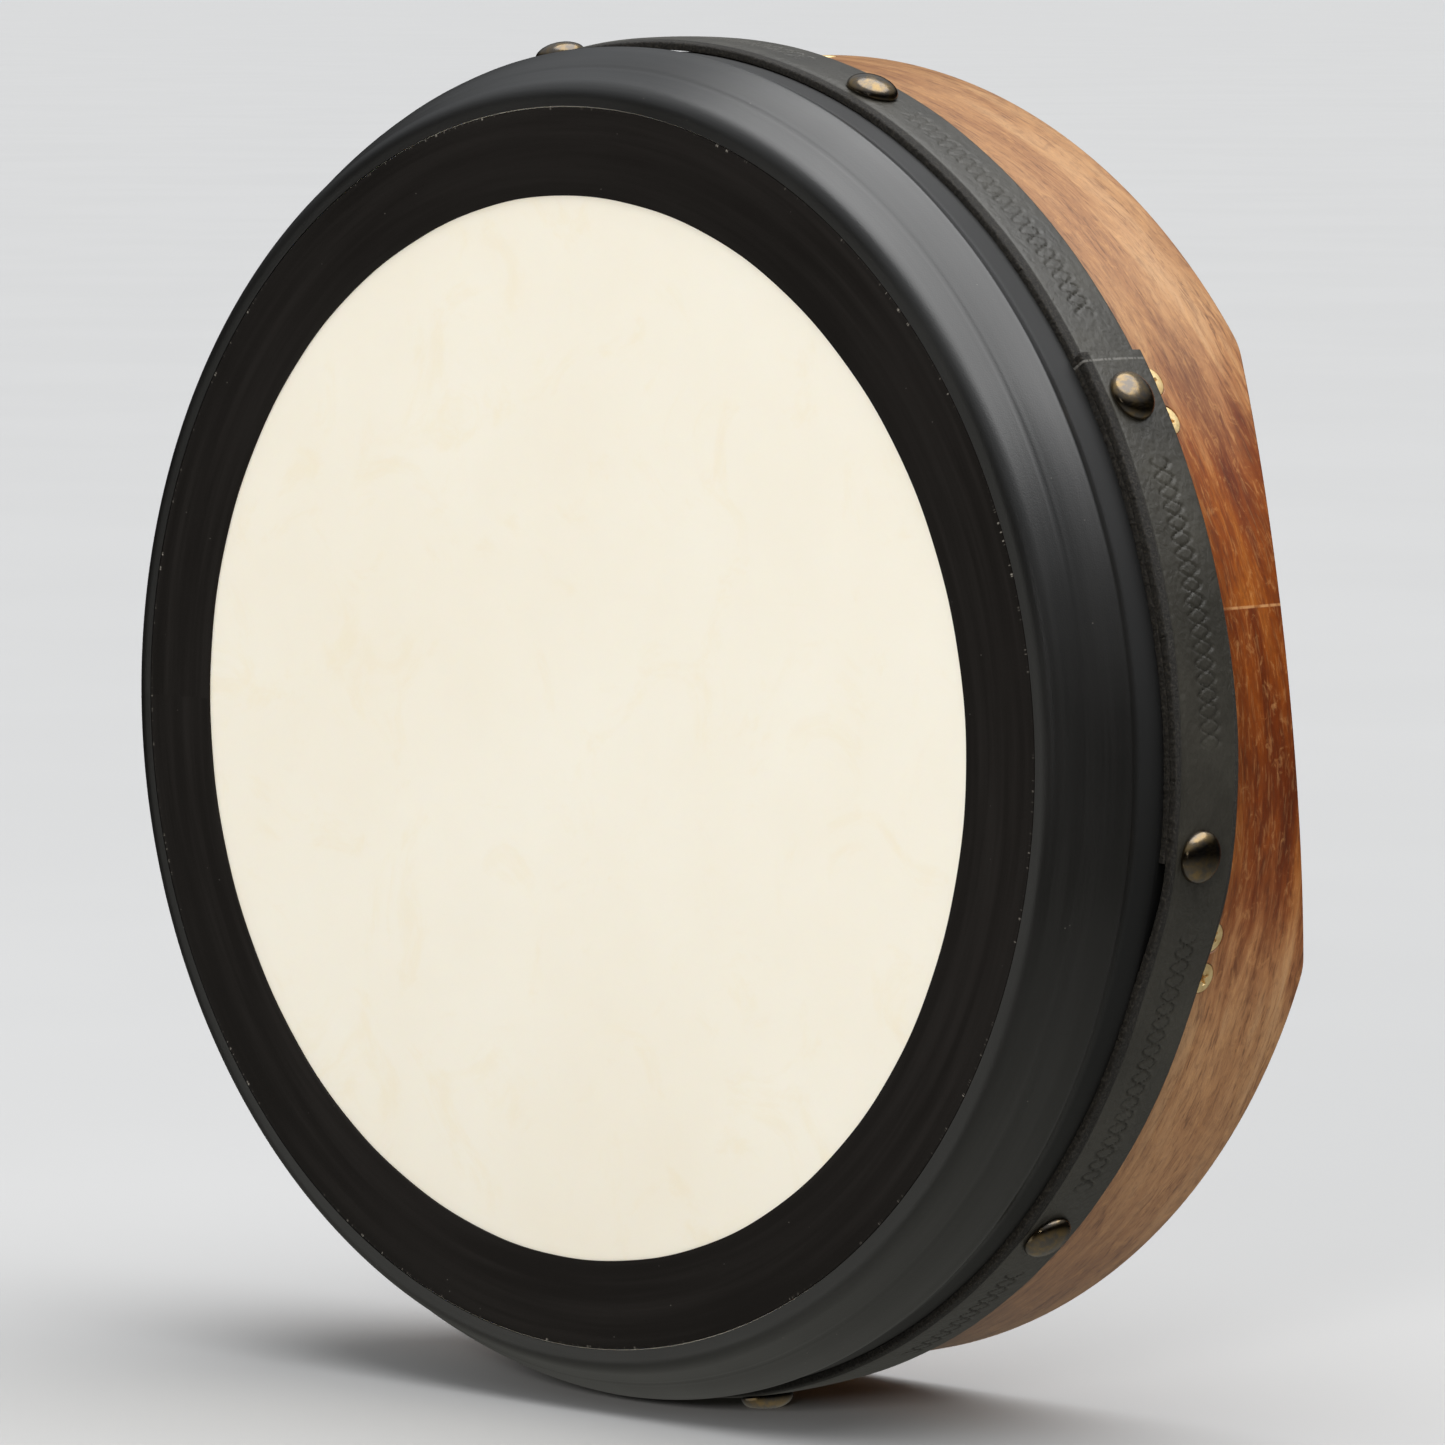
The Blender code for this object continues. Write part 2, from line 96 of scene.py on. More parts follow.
SHELL_WALL = 9.3
RING_WALL = 8.8
FINE = 480

# Skin and tape, as radius and depth along the shoulder.
SKIN_THICKNESS = 0.8
SHOULDER = [
    (166.5, 0.0), (168.8, 0.5), (170.9, 2.0), (172.2, 4.6), (174.2, 8.4), (177.2, 12.8), (179.0, 17.0),
]
TAPE_INNER = 141.6
TAPE_JOIN = 165.3
TAPE_GAP = 0.3
TAPE_THICKNESS = 0.4
# Depths over which the tape is darkened as painted shade for the groove under the band, and made rougher.
PAINTED_SHADE_AND_DULL_DEPTHS = (20.0, 24.0)
RIDGE = [(180.75, 18.2), (180.35, 20.4), (179.75, 22.5), (179.7, 31.3)]

# Leather band: a strip whose last stretch laps over its first.
BAND_INNER = 179.3
BAND_THICKNESS = 2.0
BAND_START = -8.0
BAND_END = 394.5
CLIMB = (340.0, 351.0)
LAP_RISE = 2.2
BAND_CROWN = 0.45
BAND_LIP = 3.2
BAND_STEP = 0.16
TOOL_DEPTH = 0.6
TOOLED = ((38.0, 64.0), (1.0, 25.0), (321.0, 346.0), (296.0, 311.0), (76.0, 92.0))
SCRATCH_ANGLE = 33.7

# Back cutaway for the arm: a round scoop with eased corners, its middle at this angle.
SCOOP_ANGLE = 8.2
SCOOP_FLOOR = 85.0
SCOOP_RADIUS = 201.6
SCOOP_CORNER = 14.0
VENEER_SEAM = 12.3

# Small hardware: tacks and screws in millimetres, then bolts, brackets and screw blades in metres.
TACK_RISE = 3.9
SCREW_HEAD = 4.1
SCREW_SINK = 0.05
SINK_SIDES = 40
SINK_PROFILE = [(SCREW_HEAD + 1.1, 0.9), (SCREW_HEAD + 0.12, -0.25), (SCREW_HEAD + 0.1, -0.75), (2.0, -3.2)]
BLADE_TOP = (0.0048, 0.00105, 0.0006)
BLADE_TIP = (0.0020, 0.0007, -0.0019)
THREAD_PITCH = 0.001
THREAD_RADIUS = 0.00295
THREAD_DEPTH = 0.00045
BOLT_HEAD_RADIUS = 0.005
BOLT_HEAD_HEIGHT = 0.006
SOCKET_RADIUS = 0.0029
SOCKET_DEPTH = 0.0034
KNURLS = 36
KNURL_DEPTH = 0.00022
BRACKET_SIZE = (0.014, 0.022, 0.0122)
BRACKET_EASE = 0.0011
BRACKET_BORE = 0.0034
BORE_DROP = -0.0047


# ---- placing

def world(radius, angle, depth):
    """The world point at a radius, angle in degrees and depth."""
    turn = math.radians(angle)
    return Vector((radius * math.cos(turn) * MM, FACE_Y + depth * MM, radius * math.sin(turn) * MM))


def outward(angle, radius, depth, aside=0.0):
    """Places a shape, modelled in metres with its +Z outwards and +X towards the back, on the rim."""
    turn = math.radians(angle)
    out = Vector((math.cos(turn), 0.0, math.sin(turn)))
    along = Vector((-math.sin(turn), 0.0, math.cos(turn)))
    back = Vector((0.0, 1.0, 0.0))
    placed = Matrix((back, along, out)).transposed().to_4x4()
    placed.translation = world(radius, angle, depth) + along * aside * MM
    return placed


def centre_of(node):
    low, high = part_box(node)
    return (low + high) / 2


def angle_of(point):
    return math.degrees(math.atan2(point.z, point.x))


# ---- meshes

def new_piece(name, vertices, faces, material, smooth=40.0):
    mesh = bpy.data.meshes.new(name)
    mesh.from_pydata([tuple(v) for v in vertices], [], [tuple(f) for f in faces])
    mesh.validate()
    return add_piece(name, mesh, material, smooth)


def add_piece(name, mesh, material, smooth=40.0):
    mesh.materials.clear()
    mesh.materials.append(material)
    mesh.shade_smooth()
    mesh.set_sharp_from_angle(angle=math.radians(smooth))
    piece = bpy.data.objects.new(name, mesh)
    bpy.context.scene.collection.objects.link(piece)
    return piece


def grid_faces(rows, columns, wrap_rows, wrap_columns):
    """Quads over a grid whose point at (row, column) has index row * columns + column."""
    faces = []
    for row in range(rows if wrap_rows else rows - 1):
        below = row * columns
        above = (row + 1) % rows * columns
        for column in range(columns if wrap_columns else columns - 1):
            following = (column + 1) % columns
            faces.append((below + column, below + following, above + following, above + column))
    return faces


def turned(name, profile, material, steps=FINE, smooth=40.0, shift=None):
    """A closed radius and depth profile turned about the drum's axis.

    shift(angle, radius, depth) may add to a point's radius."""
    vertices = []
    for step in range(steps):
        angle = 360.0 * step / steps
        for radius, depth in profile:
            more = shift(angle, radius, depth) if shift else 0.0
            vertices.append(world(radius + more, angle, depth))
    faces = grid_faces(steps, len(profile), True, True)
    return closed_outwards(new_piece(name, vertices, faces, material, smooth))


def closed_outwards(piece):
    work = bmesh.new()
    work.from_mesh(piece.data)
    bmesh.ops.recalc_face_normals(work, faces=work.faces)
    work.to_mesh(piece.data)
    work.free()
    return piece


def rounded(corners, radii, steps=4):
    """A closed outline with each corner rounded: corners and radii in millimetres."""
    points = []
    count = len(corners)
    for i, (corner, radius) in enumerate(zip(corners, radii)):
        here = Vector(corner)
        if radius <= 0:
            points.append(tuple(here))
            continue
        to_last = (Vector(corners[i - 1]) - here).normalized()
        to_next = (Vector(corners[(i + 1) % count]) - here).normalized()
        half = math.acos(max(-1.0, min(1.0, to_last.dot(to_next)))) / 2
        if half > math.radians(89.0):
            points.append(tuple(here))
            continue
        reach = radius / math.tan(half)
        centre = here + (to_last + to_next).normalized() * radius / math.sin(half)
        first = here + to_last * reach - centre
        last = here + to_next * reach - centre
        sweep = first.angle_signed(last)
        for step in range(steps + 1):
            turn = -sweep * step / steps
            rotated = Vector((
                first.x * math.cos(turn) - first.y * math.sin(turn),
                first.x * math.sin(turn) + first.y * math.cos(turn),
            ))
            points.append(tuple(centre + rotated))
    return points


def smoothed(points, rounds=2):
    """Chaikin's corner cutting on an open line, keeping its ends."""
    for _ in range(rounds):
        finer = [points[0]]
        for (x0, y0), (x1, y1) in zip(points, points[1:]):
            finer.append((x0 * 0.75 + x1 * 0.25, y0 * 0.75 + y1 * 0.25))
            finer.append((x0 * 0.25 + x1 * 0.75, y0 * 0.25 + y1 * 0.75))
        finer.append(points[-1])
        points = finer
    return points


def offset(points, distance):
    """The line moved towards the face and the rim by the distance."""
    moved = []
    for i, (radius, depth) in enumerate(points):
        before = points[max(i - 1, 0)]
        after = points[min(i + 1, len(points) - 1)]
        run = after[0] - before[0]
        drop = after[1] - before[1]
        length = math.hypot(run, drop)
        moved.append((radius + distance * drop / length, depth - distance * run / length))
    return moved


def ripple(seed, octaves=((3, 1.0), (7, 0.5), (13, 0.3))):
    """A smooth periodic unevenness of the angle, the same each run, within about 1."""
    random = np.random.default_rng(seed)
    phases = random.uniform(0.0, 2 * math.pi, len(octaves))

    def value(angle):
        turn = math.radians(angle)
        return sum(size * math.sin(n * turn + phase) for (n, size), phase in zip(octaves, phases))

    return value


# ---- materials

class Shader:
    """A material's nodes, with short ways to add and join them."""

    def __init__(self, name):
        self.material = bpy.data.materials.new(name)
        self.material.use_nodes = True
        self.tree = self.material.node_tree
        self.principled = self.tree.nodes["Principled BSDF"]

    def node(self, kind, inputs=None, **settings):
        node = self.tree.nodes.new(kind)
        for key, value in settings.items():
            setattr(node, key, value)
        for key, value in (inputs or {}).items():
            self.set(node.inputs[key], value)
        return node

    def set(self, socket, value):
        if isinstance(value, bpy.types.NodeSocket):
            self.tree.links.new(value, socket)
        elif isinstance(value, (tuple, list)) and len(value) == 3 and socket.type == "RGBA":
            socket.default_value = (*value, 1.0)
        else:
            socket.default_value = value

    def principal(self, **values):
        for key, value in values.items():
            self.set(self.principled.inputs[key.replace("_", " ")], value)

    def math(self, operation, a, b=0.0):
        node = self.node("ShaderNodeMath", operation=operation)
        for socket, value in zip(node.inputs, (a, b)):
            self.set(socket, value)
        return node.outputs[0]

    def plus(self, a, b):
        return self.math("ADD", a, b)

    def minus(self, a, b):
        return self.math("SUBTRACT", a, b)

    def times(self, a, b):
        return self.math("MULTIPLY", a, b)

    def between(self, value, low, high, to_low=0.0, to_high=1.0):
        """Maps a value smoothly from low..high to the new range, held at its ends."""
        node = self.node("ShaderNodeMapRange", interpolation_type="SMOOTHSTEP")
        for key, number in (("From Min", low), ("From Max", high), ("To Min", to_low), ("To Max", to_high)):
            self.set(node.inputs[key], number)
        self.set(node.inputs["Value"], value)
        return node.outputs[0]

    def mix(self, factor, a, b, blend="MIX"):
        node = self.node("ShaderNodeMix", data_type="RGBA", blend_type=blend)
        self.set(node.inputs[0], factor)
        self.set(node.inputs[6], a)
        self.set(node.inputs[7], b)
        return node.outputs[2]

    def ramp(self, factor, stops):
        node = self.node("ShaderNodeValToRGB")
        elements = node.color_ramp.elements
        for element, (position, colour) in zip(elements, (stops[0], stops[-1])):
            element.position = position
            element.color = (*colour, 1.0)
        for position, colour in stops[1:-1]:
            elements.new(position).color = (*colour, 1.0)
        self.set(node.inputs[0], factor)
        return node.outputs[0]

    def place(self):
        """Where the point is, in metres, in the row frame at rest."""
        return self.node("ShaderNodeTexCoord").outputs["Object"]

    def round_the_rim(self, cut=180.0):
        """(arc, depth, radius) in metres: arc runs round the rim, and starts again at the cut angle."""
        split = self.node("ShaderNodeSeparateXYZ", {"Vector": self.place()})
        x, y, z = split.outputs
        turn = math.radians(cut - 180.0)
        cosine = math.cos(turn)
        sine = math.sin(turn)
        across = self.plus(self.times(x, cosine), self.times(z, sine))
        up = self.minus(self.times(z, cosine), self.times(x, sine))
        angle = self.math("ARCTAN2", up, across)
        arc = self.times(angle, SHELL_RADIUS * MM)
        depth = self.minus(y, FACE_Y)
        squares = self.plus(self.times(x, x), self.times(z, z))
        radius = self.math("SQRT", squares)
        return arc, depth, radius

    def vector(self, x, y, z):
        node = self.node("ShaderNodeCombineXYZ")
        for socket, value in zip(node.inputs, (x, y, z)):
            self.set(socket, value)
        return node.outputs[0]

    def stretched(self, vector, scale):
        node = self.node("ShaderNodeVectorMath", operation="MULTIPLY")
        self.set(node.inputs[0], vector)
        self.set(node.inputs[1], scale)
        return node.outputs[0]

    def noise(self, vector, scale, detail=3.0, rough=0.5, warp=0.0):
        node = self.node("ShaderNodeTexNoise", {
            "Vector": vector, "Scale": scale, "Detail": detail, "Roughness": rough, "Distortion": warp,
        })
        return node.outputs["Fac"]

    def cells(self, vector, scale, feature="F1"):
        node = self.node("ShaderNodeTexVoronoi", {"Vector": vector, "Scale": scale}, feature=feature)
        return node.outputs["Distance"]

    def bump(self, height, strength=1.0, distance=0.001, below=None):
        node = self.node("ShaderNodeBump", {"Height": height, "Strength": strength, "Distance": distance})
        if below is not None:
            self.set(node.inputs["Normal"], below)
        return node.outputs[0]


def veneer(name, cut, tones, flecks, deep=None, inside=None, sheen_rough=0.32):
    """Satin-varnished wood whose grain runs round the rim, with short flecks and slow changes of tone.

    The sheet's ends meet at the cut angle. deep is a second set of tones for the stretch about DEEP_MIDDLE,
    where the sheet is redder, and inside is the colour that the plain inner face leans to."""
    s = Shader(name)
    arc, depth, radius = s.round_the_rim(cut)
    # The figure leans a little: the grain climbs towards the back as it goes round.
    lean = s.plus(depth, s.times(arc, 0.07))
    flow = s.vector(arc, lean, radius)
    warp = s.noise(s.stretched(flow, (14.0, 45.0, 30.0)), 1.0, 3.0, 0.55)
    wavy = s.plus(lean, s.times(warp, 0.010))
    flow = s.vector(arc, wavy, radius)
    slow = s.noise(s.stretched(flow, (8.0, 48.0, 20.0)), 1.0, 3.0, 0.5)
    middling = s.noise(s.stretched(flow, (30.0, 210.0, 60.0)), 1.0, 4.0, 0.6, 0.4)
    figure = s.plus(s.times(slow, 0.55), s.times(middling, 0.45))
    base = s.ramp(figure, tones)
    if deep is not None:
        around = s.round_the_rim(DEEP_MIDDLE - 180.0)[0]
        ragged = s.times(s.minus(middling, 0.5), DEEP_RAGGED * MM)
        far = s.plus(s.math("ABSOLUTE", around), ragged)
        redder = s.between(far, DEEP_REACH[0] * MM, DEEP_REACH[1] * MM, 1.0, 0.0)
        base = s.mix(redder, base, s.ramp(figure, deep))
    streak = s.noise(s.stretched(flow, (150.0, 1250.0, 200.0)), 1.0, 3.0, 0.6, 0.3)
    patch = s.between(middling, 0.40, 0.60, 1.0, 0.35)
    dark = s.times(s.between(streak, 0.50, 0.66), patch)
    base = s.mix(s.times(dark, 0.62), base, flecks[0])
    light = s.between(s.noise(s.stretched(flow, (190.0, 1700.0, 200.0)), 1.0, 2.0, 0.55), 0.54, 0.68)
    base = s.mix(s.times(light, 0.28), base, s.mix(0.55, base, flecks[1]))
    burl = s.noise(s.stretched(flow, (170.0, 330.0, 200.0)), 1.0, 5.0, 0.68, 1.1)
    base = s.mix(s.between(burl, 0.50, 0.64, 0.0, 0.42), base, s.mix(0.5, base, flecks[0]))
    base = s.mix(s.between(burl, 0.34, 0.46, 0.22, 0.0), base, flecks[1])
    pore = s.noise(s.stretched(flow, (330.0, 4300.0, 500.0)), 1.0, 2.0, 0.6)
    base = s.mix(s.between(pore, 0.58, 0.70, 0.0, 0.40), base, flecks[2])
    if inside is not None:
        bore = SHELL_RADIUS - SHELL_WALL
        within = s.between(radius, (bore + 0.1) * MM, (bore + 0.2) * MM)
        base = s.mix(within, s.mix(0.45, base, inside), base)
        seam = s.between(s.minus(math.pi * SHELL_RADIUS * MM, s.math("ABSOLUTE", arc)),
                         0.0002, 0.0005, 1.0, 0.0)
        uneven = s.between(s.noise(s.vector(0.0, depth, 0.0), 260.0, 3.0, 0.7), 0.40, 0.55, 0.25, 0.8)
        base = s.mix(s.times(seam, uneven), base, (0.50, 0.25, 0.10))
    rough = s.plus(sheen_rough, s.times(streak, 0.14))
    fine = s.bump(pore, 0.05, 0.0002)
    waves = s.bump(slow, 0.12, 0.0008, fine)
    s.principal(Base_Color=base, Roughness=rough, Normal=waves)
    s.principal(Coat_Weight=0.12, Coat_Roughness=0.25, Specular_IOR_Level=0.4)
    return s.material


def goatskin_material():
    s = Shader("goatskin")
    place = s.place()
    cloud = s.noise(s.stretched(place, (1.0, 0.2, 1.0)), 9.0, 4.0, 0.6)
    base = s.ramp(cloud, SKIN_TONES)
    veins = s.noise(s.stretched(place, (1.0, 0.2, 1.0)), 34.0, 6.0, 0.65, 1.2)
    base = s.mix(s.between(veins, 0.52, 0.70, 0.0, 0.16), base, (0.82, 0.66, 0.36))
    hair = s.cells(s.stretched(place, (1.0, 0.3, 1.0)), 1500.0)
    base = s.mix(s.between(hair, 0.0, 0.16, 0.14, 0.0), base, (0.55, 0.42, 0.24))
    grain = s.bump(s.noise(place, 900.0, 4.0, 0.6), 0.10, 0.0002)
    soft = s.bump(cloud, 0.10, 0.0010, grain)
    s.principal(Base_Color=base, Roughness=s.between(veins, 0.3, 0.7, 0.50, 0.62), Normal=soft)
    s.principal(Subsurface_Weight=0.10, Subsurface_Radius=(0.006, 0.004, 0.002), Subsurface_Scale=0.4)
    return s.material


def tape_material(name, colour, rough, shine, speck_radius=None):
    """Black cloth tape: a fine weave, faint rubbing round the rim, and dust caught at the lapped edge."""
    s = Shader(name)
    arc, depth, radius = s.round_the_rim()
    rubbed = s.vector(s.times(arc, 8.0), s.times(depth, 260.0), s.times(radius, 260.0))
    rub = s.noise(rubbed, 1.0, 3.0, 0.6)
    soft = s.noise(s.place(), 14.0, 3.0, 0.55)
    base = s.mix(s.between(rub, 0.35, 0.75), colour, tuple(c * 1.5 + 0.004 for c in colour))
    base = s.mix(s.between(soft, 0.35, 0.7, 0.0, 0.5), base, tuple(c * 1.35 + 0.003 for c in colour))
    dust = s.between(s.cells(s.place(), 150.0), 0.0, 0.035, 1.0, 0.0)
    base = s.mix(s.times(dust, 0.5), base, (0.32, 0.30, 0.26))
    if speck_radius:
        off = s.math("ABSOLUTE", s.minus(radius, speck_radius * MM))
        near = s.between(off, 0.0001, 0.0005, 1.0, 0.0)
        along = s.vector(arc, 0.0, 0.0)
        broken = s.between(s.noise(along, 420.0, 3.0, 0.8), 0.54, 0.64)
        patches = s.between(s.noise(along, 26.0, 2.0), 0.44, 0.60)
        speck = s.times(s.times(near, broken), patches)
        base = s.mix(s.times(speck, 0.7), base, (0.36, 0.33, 0.28))
    weave = s.noise(s.place(), 2600.0, 2.0, 0.5)
    fine = s.bump(weave, 0.16, 0.0002)
    creases = s.bump(rub, 0.10, 0.0004, fine)
    # Past the fold the cloth is painted darker, with no rubbing or dust: painted shade standing in for the
    # shadow of the deep groove under the band's edge. It is also made rougher there.
    wall = s.between(depth, PAINTED_SHADE_AND_DULL_DEPTHS[0] * MM, PAINTED_SHADE_AND_DULL_DEPTHS[1] * MM)
    base = s.mix(wall, base, tuple(c * 0.3 for c in colour))
    polish = s.between(soft, 0.3, 0.7, rough - 0.04, rough + 0.05)
    s.principal(Base_Color=base, Normal=creases, Specular_IOR_Level=shine)
    s.principal(Roughness=s.plus(polish, s.times(wall, 0.35)))
    return s.material


def leather_material():
    """Black drum-dyed leather, satin on its face and raw brown-black on its cut edges."""
    s = Shader("black_leather")
    arc, depth, _ = s.round_the_rim()
    flat = s.vector(arc, depth, 0.0)
    pebbles = s.cells(flat, 620.0, "SMOOTH_F1")
    creases = s.noise(flat, 240.0, 5.0, 0.65, 0.6)
    tone = s.noise(flat, 32.0, 4.0, 0.6)
    base = s.ramp(tone, LEATHER_TONES)
    scuff = s.between(s.noise(s.stretched(flat, (60.0, 420.0, 1.0)), 1.0, 5.0, 0.75), 0.66, 0.78)
    base = s.mix(s.times(scuff, 0.20), base, (0.20, 0.19, 0.17))
    front = s.between(depth, (BAND_FRONT + BAND_LIP - 0.8) * MM, (BAND_FRONT + BAND_LIP) * MM, 1.0, 0.0)
    back = s.between(depth, (BAND_BACK - 0.6) * MM, (BAND_BACK - 0.2) * MM)
    raw = s.math("MAXIMUM", front, s.times(back, 0.6))
    fuzz = s.noise(s.place(), 1500.0, 3.0, 0.75)
    fibres = s.mix(s.between(fuzz, 0.45, 0.68), (0.010, 0.0085, 0.0065), (0.034, 0.029, 0.022))
    base = s.mix(raw, base, fibres)
    # A thin broken scratch lies across the strip just below its lapped end.
    worn = s.between(s.noise(s.vector(depth, 0.0, 0.0), 700.0, 2.0, 0.6), 0.38, 0.50)
    scratch_arc = SCRATCH_ANGLE * math.pi / 180.0 * SHELL_RADIUS * MM
    scratch_off = s.math("ABSOLUTE", s.minus(arc, scratch_arc))
    scratch = s.times(s.between(scratch_off, 0.00018, 0.00042, 1.0, 0.0), worn)
    base = s.mix(s.times(scratch, 0.45), base, (0.22, 0.21, 0.19))
    rough = s.plus(s.between(tone, 0.3, 0.7, 0.43, 0.52), s.times(raw, 0.35))
    fine = s.bump(pebbles, 0.34, 0.0004)
    folds = s.bump(creases, 0.42, 0.0008, fine)
    rough_cut = s.bump(s.times(fuzz, raw), 0.8, 0.0006, folds)
    s.principal(Base_Color=base, Roughness=rough, Normal=rough_cut, Specular_IOR_Level=0.52)
    return s.material


def metal_material(name, light, dark, rough, scratch=900.0, patina=0.0, metallic=1.0):
    """Polished metal with fine rubbing and, where asked, darker patina in broad patches."""
    s = Shader(name)
    place = s.place()
    tone = s.noise(place, 260.0, 4.0, 0.6)
    base = s.mix(s.between(tone, 0.35, 0.65, patina, 1.0), dark, light)
    rub = s.noise(s.stretched(place, (1.0, 3.0, 1.0)), scratch, 3.0, 0.7)
    s.principal(Base_Color=base, Roughness=s.between(rub, 0.3, 0.7, rough * 0.75, rough * 1.3))
    s.principal(Normal=s.bump(rub, 0.05, 0.0001), Metallic=metallic)
    return s.material


def bar_wood_material():
    s = Shader("bar_oil_finish")
    place = s.place()
    along = s.stretched(place, (1.0, 1.0, 0.10))
    slow = s.noise(along, 60.0, 4.0, 0.55, 0.4)
    base = s.ramp(slow, BAR_TONES)
    pore = s.noise(s.stretched(place, (1.0, 1.0, 0.05)), 1400.0, 2.0, 0.6)
    base = s.mix(s.between(pore, 0.56, 0.72, 0.0, 0.5), base, (0.075, 0.026, 0.009))
    s.principal(Base_Color=base, Roughness=s.between(slow, 0.3, 0.7, 0.34, 0.46))
    s.principal(Normal=s.bump(pore, 0.12, 0.0003), Coat_Weight=0.2, Coat_Roughness=0.3)
    return s.material


def floor_material():
    s = Shader("studio_floor")
    tone = s.noise(s.place(), 3.0, 3.0)
    base = s.mix(s.between(tone, 0.3, 0.7), (0.452, 0.450, 0.448), (0.461, 0.459, 0.457))
    s.principal(Base_Color=base, Roughness=0.9, Specular_IOR_Level=0.0)
    return s.material


SKIN_TONES = [(0.30, (0.87, 0.80, 0.665)), (0.52, (0.885, 0.825, 0.70)), (0.75, (0.90, 0.85, 0.735))]
LEATHER_TONES = [(0.30, (0.023, 0.021, 0.016)), (0.55, (0.034, 0.031, 0.0235)), (0.78, (0.049, 0.045, 0.034))]
BAR_TONES = [(0.28, (0.17, 0.055, 0.016)), (0.50, (0.30, 0.115, 0.036)), (0.74, (0.41, 0.185, 0.066))]
WOOD_TONES = [
    (0.32, (0.215, 0.083, 0.026)),
    (0.44, (0.315, 0.140, 0.048)),
    (0.55, (0.400, 0.200, 0.078)),
    (0.68, (0.500, 0.290, 0.135)),
]
DEEP_TONES = [
    (0.34, (0.060, 0.008, 0.0005)),
    (0.45, (0.130, 0.022, 0.0010)),
    (0.54, (0.215, 0.046, 0.0025)),
    (0.66, (0.370, 0.115, 0.0120)),
]
WOOD_FLECKS = [(0.085, 0.022, 0.006), (0.640, 0.340, 0.120), (0.060, 0.018, 0.006)]
DEEP_MIDDLE = 7.0
DEEP_REACH = (50.0, 105.0)
DEEP_RAGGED = 60.0
RING_TONES = [(0.25, (0.42, 0.25, 0.11)), (0.5, (0.55, 0.36, 0.18)), (0.75, (0.64, 0.45, 0.25))]
RING_FLECKS = [(0.30, 0.16, 0.06), (0.72, 0.54, 0.33), (0.24, 0.13, 0.05)]

SHELL_WOOD = veneer("shell_veneer", VENEER_SEAM, WOOD_TONES, WOOD_FLECKS, DEEP_TONES, (0.36, 0.17, 0.07))
RING_WOOD = veneer("ring_beech", 200.0, RING_TONES, RING_FLECKS, sheen_rough=0.42)
GOATSKIN = goatskin_material()
FACE_TAPE = tape_material("face_tape", (0.0060, 0.0046, 0.0036), 0.62, 0.16, TAPE_JOIN - 0.6)
SHOULDER_TAPE = tape_material("shoulder_tape", (0.0050, 0.0046, 0.0040), 0.34, 0.72)
LEATHER = leather_material()
ANTIQUE = metal_material("antique_brass", (0.25, 0.175, 0.085), (0.13, 0.115, 0.10), 0.21, 700.0, 0.0)
BRASS = metal_material("bright_brass", (0.96, 0.74, 0.38), (0.80, 0.56, 0.24), 0.45, metallic=0.65)
STEEL = metal_material("zinc_steel", (0.62, 0.62, 0.62), (0.42, 0.42, 0.43), 0.28)
BAR_WOOD = bar_wood_material()
FLOOR = floor_material()


# ---- skin and tape

def build_skin():
    line = smoothed([(150.0, 0.0)] + SHOULDER + [(SHOULDER[-1][0], SHOULDER[-1][1] + 4.0)])
    rings = [(float(radius), 0.0) for radius in range(4, 150, 8)]
    outer = rings + line + [(SHOULDER[-1][0], depth) for depth in range(24, int(SKIN_HEM), 6)]
    outer += [(SHOULDER[-1][0], SKIN_HEM)]
    inner = [(radius, SKIN_THICKNESS) for radius, _ in rings]
    inner += offset(line, -SKIN_THICKNESS)
    inner += [(SHOULDER[-1][0] - SKIN_THICKNESS, depth) for radius, depth in outer if depth >= 24]
    profile = outer + inner[::-1]
    vertices = []
    for step in range(FINE):
        for radius, depth in profile:
            vertices.append(world(radius, 360.0 * step / FINE, depth))
    count = len(profile)
    faces = []
    for row in range(FINE):
        following = (row + 1) % FINE
        for column in range(count - 1):
            faces.append((row * count + column, row * count + column + 1,
                          following * count + column + 1, following * count + column))
    for column, depth in ((0, 0.0), (count - 1, SKIN_THICKNESS)):
        middle = len(vertices)
        vertices.append(world(0.0, 0.0, depth))
        for row in range(FINE):
            faces.append((middle, row * count + column, (row + 1) % FINE * count + column))
    skin = closed_outwards(new_piece("goatskin_head", vertices, faces, GOATSKIN))
    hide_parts("skin")
    return skin


def build_face_tape():
    top = -(TAPE_GAP + TAPE_THICKNESS)
    wander = ripple(3, ((5, 0.10), (11, 0.07), (31, 0.04)))
    outer = TAPE_JOIN - 0.25
    corners = [(TAPE_INNER, -0.04), (TAPE_INNER, top), (outer, top), (outer, -0.04)]
    profile = rounded(corners, [0.0, 0.22, 0.12, 0.0], 3)

    def edge(angle, radius, depth):
        return wander(angle) if radius < TAPE_INNER + 1.0 else 0.0

    tape = turned("face_tape_ring", profile, FACE_TAPE, shift=edge)
    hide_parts("tape_face")
    return tape


